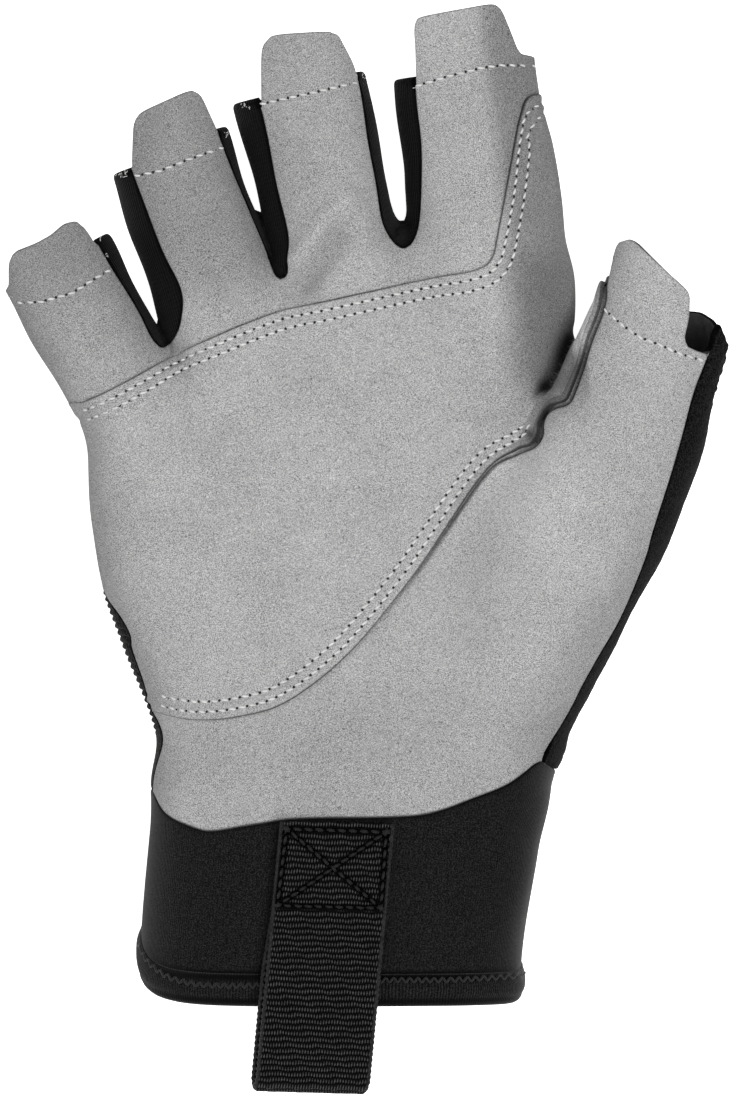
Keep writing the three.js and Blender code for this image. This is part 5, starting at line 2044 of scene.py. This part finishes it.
@dataclass
class Stitching:
    """The stitches on the palm side and the hem, with the painted shade of their needle holes. Lengths are
    in millimetres.
    """

    relief: Relief
    pitch: float = STITCH_PITCH
    length: float = 1.5
    thickness: float = 0.46
    slant: float = -13.0
    raised: float = 0.16
    hole_radius: float = 0.27
    hole_raised: float = 0.1
    # The y of the nick in the patch's lower edge, and the x where the lower rows start
    nick: float = 23.2
    left_end: float = -39.4
    # How far the upper rows draw in and over which y, and how far below their end points they stop
    draw_in: tuple[float, float, float] = (0.9, 66, 79)
    end_gap: float = 0.8
    # How far a row's place has to face up, and how high it has to lie
    shown: tuple[float, float] = (0.2, 8)
    # The hem thread's pitch, swing, height and radius
    zigzag: tuple[float, float, float, float] = (0.75, 0.4, 1.0, 0.24)
    # The fibres at each root: how many, their radius and their seed
    strands: int = 6
    strand_radius: float = 0.07
    strand_seed: int = 3

    def row(self, line: Array, on_patch: bool) -> tuple[Array, Array, Array]:
        """Places a row of stitches.

        Args:
            line: The row's line seen from above.
            on_patch: Whether it is sewn through the palm patch.

        Returns:
            The stitches' places, directions and normals.
        """
        form, relief = self.relief.form, self.relief
        facing, height = self.shown
        points = form.top(evenly(line, self.pitch))
        along, normals = unit(np.gradient(points, axis=0)), unit(form.gradient(points))
        seen = (normals[:, 2] > facing) & (points[:, 2] > height)
        points, along, normals = points[seen], along[seen], normals[seen]
        high = relief.folds(points) + (relief.patch(points, normals) if on_patch else 0)
        return points + normals * high[:, None], along, normals

    def below_nick(self, line: Array) -> Array:
        """Returns the part of a line below the nick by the web of the thumb, without its far left end."""
        return line[(line[:, 1] < self.nick) & (line[:, 0] > self.left_end)]

    def turned(self, line: Array, ends: tuple) -> Array:
        """Draws a line in towards the edge up the index finger and turns it off into its end points.

        Args:
            line: The line.
            ends: The end points.

        Returns:
            The line with its end.
        """
        depth, start, end = self.draw_in
        ends = np.array(ends)
        line = line - np.column_stack([depth * smooth_step(start, end, line[:, 1]), np.zeros(len(line))])
        return np.vstack([line[line[:, 1] < ends[0, 1] - self.end_gap], ends])

    def hem(self) -> None:
        """Makes the zigzag of black thread along the hem's upper edge."""
        form = self.relief.form
        pitch, swing, height, radius = self.zigzag
        line = form.top(evenly(spline(HEM_LINE), pitch))
        normals = unit(form.gradient(line))
        line[:, 1] += swing * np.where(np.arange(len(line)) % 2, 1, -1)
        line += normals * (self.relief.folds(line) + height)[:, None]
        path = spline(line[normals[:, 2] > 0.1], 3)
        thread = Thread("hem_thread_finish", (0.009, 0.009, 0.009)).material()
        dress(make_piece("stitches_hem", *tube(path, radius)), thread)

    def fibres(self) -> None:
        """Makes the loose pale fibres at the ends of the rows and strips."""
        form = self.relief.form
        draw = np.random.default_rng(self.strand_seed)
        roots = form.top(np.array(FIBRES))
        normals = unit(form.gradient(roots))
        on_glove = roots[:, 2] > 5
        parts = []
        for root, normal in zip(roots[on_glove], normals[on_glove]):
            for _ in range(self.strands):
                heading = unit(draw.normal(size=(1, 3)) + normal * 0.7)[0] * draw.uniform(0.15, 0.5)
                bend = draw.normal(size=3) * 0.2
                t = np.linspace(0, 1, 6)[:, None]
                start = root + draw.normal(size=3) * (0.3, 0.3, 0.1) + normal * 0.15
                parts.append(tube(start + heading * t + bend * t * t, self.strand_radius, 5))
        pale = Thread("fibre_finish", (0.6, 0.6, 0.58)).material()
        dress(make_piece("loose_fibres", *together(parts)), pale)

    def lines(self) -> dict[str, list[tuple[Array, bool]]]:
        """Lays out the rows.

        Returns:
            For each piece of stitching its lines, and whether each is sewn through the palm patch.
        """
        form, pattern = self.relief.form, self.relief.pattern
        upper = [self.turned(beside(pattern.upper_edge, offset), ends)
                 for offset, ends in zip(ROW_OFFSETS, ROW_ENDS)]
        lower = [self.below_nick(beside(pattern.lower_edge, offset)) for offset in ROW_OFFSETS]
        openings = [form.tubes[name].place(*np.array(line).T) for name, line in OPENING_ROWS.items()]
        return {"upper": [(line, True) for line in upper], "lower": [(line, True) for line in lower],
                "openings": [(line, False) for line in openings]}

    def build(self) -> None:
        """Makes and dresses the rows, the hem's thread and the fibres."""
        pale = Thread("pale_thread_finish", (0.66, 0.66, 0.65)).material()
        # Dark discs of painted shade at the needle holes
        dark = Thread("needle_hole_shade_finish", (0.01, 0.01, 0.01)).material()
        stitch, hole = thread_stitch(self.length, self.thickness), needle_hole(self.hole_radius)
        for name, lines in self.lines().items():
            threads, holes = [], []
            for line, on_patch in lines:
                places, along, normals = self.row(line, on_patch)
                threads.append(copies(stitch, places + normals * self.raised, along, normals, self.slant))
                middles = (places[1:] + places[:-1]) / 2 + normals[1:] * self.hole_raised
                holes.append(copies(hole, middles, along[1:], normals[1:]))
            dress(make_piece(f"stitches_{name}", *together(threads)), pale)
            dress(make_piece(f"needle_hole_shades_{name}", *together(holes)), dark)
        self.hem()
        self.fibres()


@dataclass
class PullLoop:
    """The webbing loop on the cuff. Lengths are in millimetres, and leans in degrees."""

    lean: float = 5.4
    rib_lean: float = 1.6
    top: tuple[float, float] = (-5.3, -51.5)
    width: float = 21.7
    thickness: float = 1.5
    rib_pitch: float = 1.13
    rib_height: float = 0.26
    # How many sections there are in a rib, points across one side, and steps in each rounded edge
    rib_steps: int = 5
    columns: int = 64
    edge_steps: int = 6
    # How the ribs wander across the webbing, in shares of their pitch
    sway: tuple[float, float] = (0.09, 0.05)
    # How far left of the upper layer the lower one lies, and over which length it moves there
    slip: float = 0.9
    slip_span: tuple[float, float] = (14, 30)
    # How far the ribs stand out at the edges
    scallop: float = 0.07
    # Along the loop, the underside's height, and the gap between the layers
    path: tuple[tuple[float, float, float], ...] = (
        (0, 43.6, 0.25), (15, 43.8, 0.25), (23, 44.1, 0.4), (31, 44.6, 1.0), (37, 44.0, 1.6),
        (43, 43.0, 1.9), (48.9, 42.0, 1.4),
    )
    # The boxed cross: its corners, how deep and wide it presses the webbing in, and the pitch, length,
    # thickness, slant and depth of its stitches
    box: tuple[tuple[float, float], ...] = ((-14.9, -52.6), (3.9, -53.2), (2.9, -67.6), (-16.6, -67.1))
    groove: tuple[float, float] = (0.45, 0.7)
    stitch: tuple[float, float, float, float, float] = (STITCH_PITCH, 1.7, 0.55, -8.0, 0.25)

    def centre(self) -> Array:
        """Follows the middle line of the webbing, along the lower layer and back along the upper one.

        Returns:
            The length along the loop, the height and the layer, from 1 for the lower one to 0.
        """
        course = Profile(self.path)
        along = np.arange(0, self.path[-1][0], 0.2)
        under, opening = course.at(along)
        low = np.column_stack([along, under + self.thickness / 2, np.ones(len(along))])
        high = low[::-1].copy()
        high[:, 1] += (opening + self.thickness)[::-1]
        high[:, 2] = 0
        end_z, radius = (low[-1, 1] + high[0, 1]) / 2, (high[0, 1] - low[-1, 1]) / 2
        turns = np.linspace(-math.pi / 2, math.pi / 2, 26)[1:-1]
        fold = np.column_stack([along[-1] + radius * np.cos(turns), end_z + radius * np.sin(turns),
                                0.5 - turns / math.pi])
        return np.vstack([low, fold, high])

    def section(self) -> Array:
        """Draws the webbing's section, flat with rounded edges.

        Returns:
            The points across the webbing and through it, one row each.
        """
        half, edge = self.width / 2, self.thickness / 2
        across = np.linspace(-half + edge, half - edge, self.columns)
        turns = np.linspace(-math.pi / 2, math.pi / 2, self.edge_steps + 1)[1:-1]
        return np.vstack([
            np.column_stack([across, np.full(len(across), -edge)]),
            np.column_stack([half - edge + edge * np.cos(turns), edge * np.sin(turns)]),
            np.column_stack([across[::-1], np.full(len(across), edge)]),
            np.column_stack([-half + edge - edge * np.cos(turns), -edge * np.sin(turns)]),
        ])

    def place(self, line: Array, section: Array, phase: Array, wavy: Array) -> Array:
        """Places the section's points along the webbing.

        Args:
            line: The middle line.
            section: The section.
            phase: How many ribs there are up to each point of the line.
            wavy: The same for each point of the webbing, with the ribs' wandering.

        Returns:
            The webbing's points, section by section.
        """
        across, through = section[None, :, 0], section[None, :, 1]
        half, edge = self.width / 2, self.thickness / 2
        tangent = unit(np.gradient(line[:, :2], axis=0))
        outward = np.column_stack([tangent[:, 1], -tangent[:, 0]])
        slip = -self.slip * line[:, 2] * smooth_step(*self.slip_span, line[:, 0])
        rib = self.rib_height * np.sin(wavy * 2 * math.pi - math.pi / 2)
        ends = self.scallop * np.sin(phase * 2 * math.pi)[:, None] * np.sign(across)
        x = across + slip[:, None] + ends * (np.abs(across) > half - edge)
        lift = through + rib * np.sign(through) * (np.abs(through) > edge * 0.9)
        y = -(line[:, :1] + outward[:, :1] * -lift)
        z = line[:, 1:2] + outward[:, 1:] * -lift
        angle = math.radians(self.lean)
        placed = [self.top[0] + x * math.cos(angle) + y * math.sin(angle),
                  self.top[1] - x * math.sin(math.radians(self.rib_lean)) + y * math.cos(angle),
                  np.broadcast_to(z, x.shape)]
        return np.stack(placed, -1).reshape(-1, 3)

    def build(self) -> None:
        """Makes the webbing and its black stitches, and dresses them."""
        step = self.rib_pitch / self.rib_steps
        line, section = evenly(self.centre(), step), self.section()
        count, wide = len(line), len(section)
        lengths = np.arange(count) * step
        phase = lengths / self.rib_pitch
        bow = section[None, :, 0] * 1.1 + phase[:, None] * 0.9
        first, second = self.sway
        later = smooth_step(0, 30, lengths)[:, None]
        wavy = phase[:, None] + first * np.sin(bow) + second * np.sin(bow * 2.3 + 1) * later
        points = self.place(line, section, phase, wavy)
        away = np.min([distance_to_line(ends, points[:, :2]) for ends in self.box_sides()], axis=0)
        depth, width = self.groove
        sewn = bell(away, width) * np.repeat(line[:, 2] == 0, wide) * (np.tile(section[:, 1], count) < 0)
        points[:, 2] -= depth * sewn
        attributes = {"rib": wavy.ravel(), "across": np.tile(section[:, 0], count), "sewn": sewn}
        self.sew_box()
        piece = make_piece("pull_loop_webbing", points, closed_tube(count, wide), attributes)
        finish = Webbing("webbing_finish", (0.011, 0.011, 0.011)).material()
        dress(piece, finish, "black_webbing", "pull_loop")

    def box_sides(self) -> list[Array]:
        """Returns the six lines of the boxed cross, two ends each."""
        a, b, c, d = np.array(self.box)
        return [np.array(ends) for ends in ((a, b), (b, c), (c, d), (d, a), (a, c), (b, d))]

    def sew_box(self) -> None:
        """Makes the black stitches of the boxed cross."""
        pitch, length, thickness, slant, depth = self.stitch
        top = self.path[0][1] + 2 * self.thickness + self.path[0][2] + self.rib_height
        parts = []
        for ends in self.box_sides():
            row = evenly(ends, pitch)
            places = np.column_stack([row, np.full(len(row), top - depth)])
            up = np.tile((0.0, 0.0, 1.0), (len(row), 1))
            along = unit(np.gradient(places, axis=0))
            parts.append(copies(thread_stitch(length, thickness), places, along, up, slant))
        thread = Thread("black_thread_finish", (0.005, 0.005, 0.005)).material()
        dress(make_piece("pull_loop_stitches", *together(parts)), thread)


@dataclass
class Studio:
    """The pale backdrop, the soft frontal light and the camera straight above. Lengths are in metres."""

    distance: float = 3.0
    # The height of the plane that the camera is aimed at, and how much of it the picture's height shows
    plane: float = 0.025
    shown_height: float = 0.20976
    middle: tuple[float, float] = (0.0, -0.00038)
    # In millimetres
    sensor: float = 36.0
    room_light: float = 0.32
    # Each light's name, place, size and power in watts
    lights: tuple[tuple[str, tuple[float, float, float], float, float], ...] = (
        ("key", (0.55, -0.35, 1.9), 0.9, 28.0),
        ("fill", (-0.75, 0.7, 2.0), 1.2, 7.0),
        ("left", (-1.5, -0.2, 0.9), 0.9, 6.0),
    )

    def build(self) -> None:
        """Makes the floor, the lights and the camera."""
        scene = bpy.context.scene
        bpy.ops.mesh.primitive_plane_add(size=6)
        floor = bpy.context.object
        floor.name = "backdrop"
        floor.data.materials.append(Floor("backdrop_finish", (0.97, 0.98, 0.965)).material())
        floor.visible_diffuse = False
        for light in self.lights:
            self.light(*light)
        world = bpy.data.worlds.new("pale_room")
        world.use_nodes = True
        background = world.node_tree.nodes["Background"]
        background.inputs["Color"].default_value = (1, 1, 1, 1)
        background.inputs["Strength"].default_value = self.room_light
        scene.world = world
        scene.view_settings.view_transform = "Standard"
        camera = bpy.data.objects.new("camera", bpy.data.cameras.new("camera"))
        scene.collection.objects.link(camera)
        camera.location = (*self.middle, self.distance + self.plane)
        camera.data.sensor_fit = "VERTICAL"
        camera.data.sensor_height = self.sensor
        camera.data.lens = self.sensor * self.distance / self.shown_height
        camera.data.clip_end = 50
        scene.camera = camera

    def light(self, name: str, place: tuple, size: float, power: float) -> None:
        """Adds a soft light that faces the glove.

        Args:
            name: Its name.
            place: Where it is.
            size: Its disc's size.
            power: Its power in watts.
        """
        data = bpy.data.lights.new(name, "AREA")
        data.shape, data.size, data.energy = "DISK", size, power
        light = bpy.data.objects.new(name, data)
        light.location = place
        light.rotation_euler = (-Vector(place)).to_track_quat("-Z", "Y").to_euler()
        bpy.context.scene.collection.objects.link(light)


def clear_defaults() -> None:
    """Removes what a new Blender file has in it, and selects nothing."""
    for thing in list(bpy.data.objects):
        if thing.name in ("Cube", "Light", "Camera"):
            bpy.data.objects.remove(thing)
    bpy.ops.object.select_all(action="DESELECT")


def main() -> None:
    """Builds the glove's pieces and the studio."""
    logging.basicConfig(level=logging.INFO, format="%(message)s")
    clear_defaults()
    relief = Relief(Pattern(GloveForm()))
    ClothPanels().build(Skin(relief.pattern), relief)
    Stitching(relief).build()
    PullLoop().build()
    Studio().build()


if __name__ == "__main__":
    main()
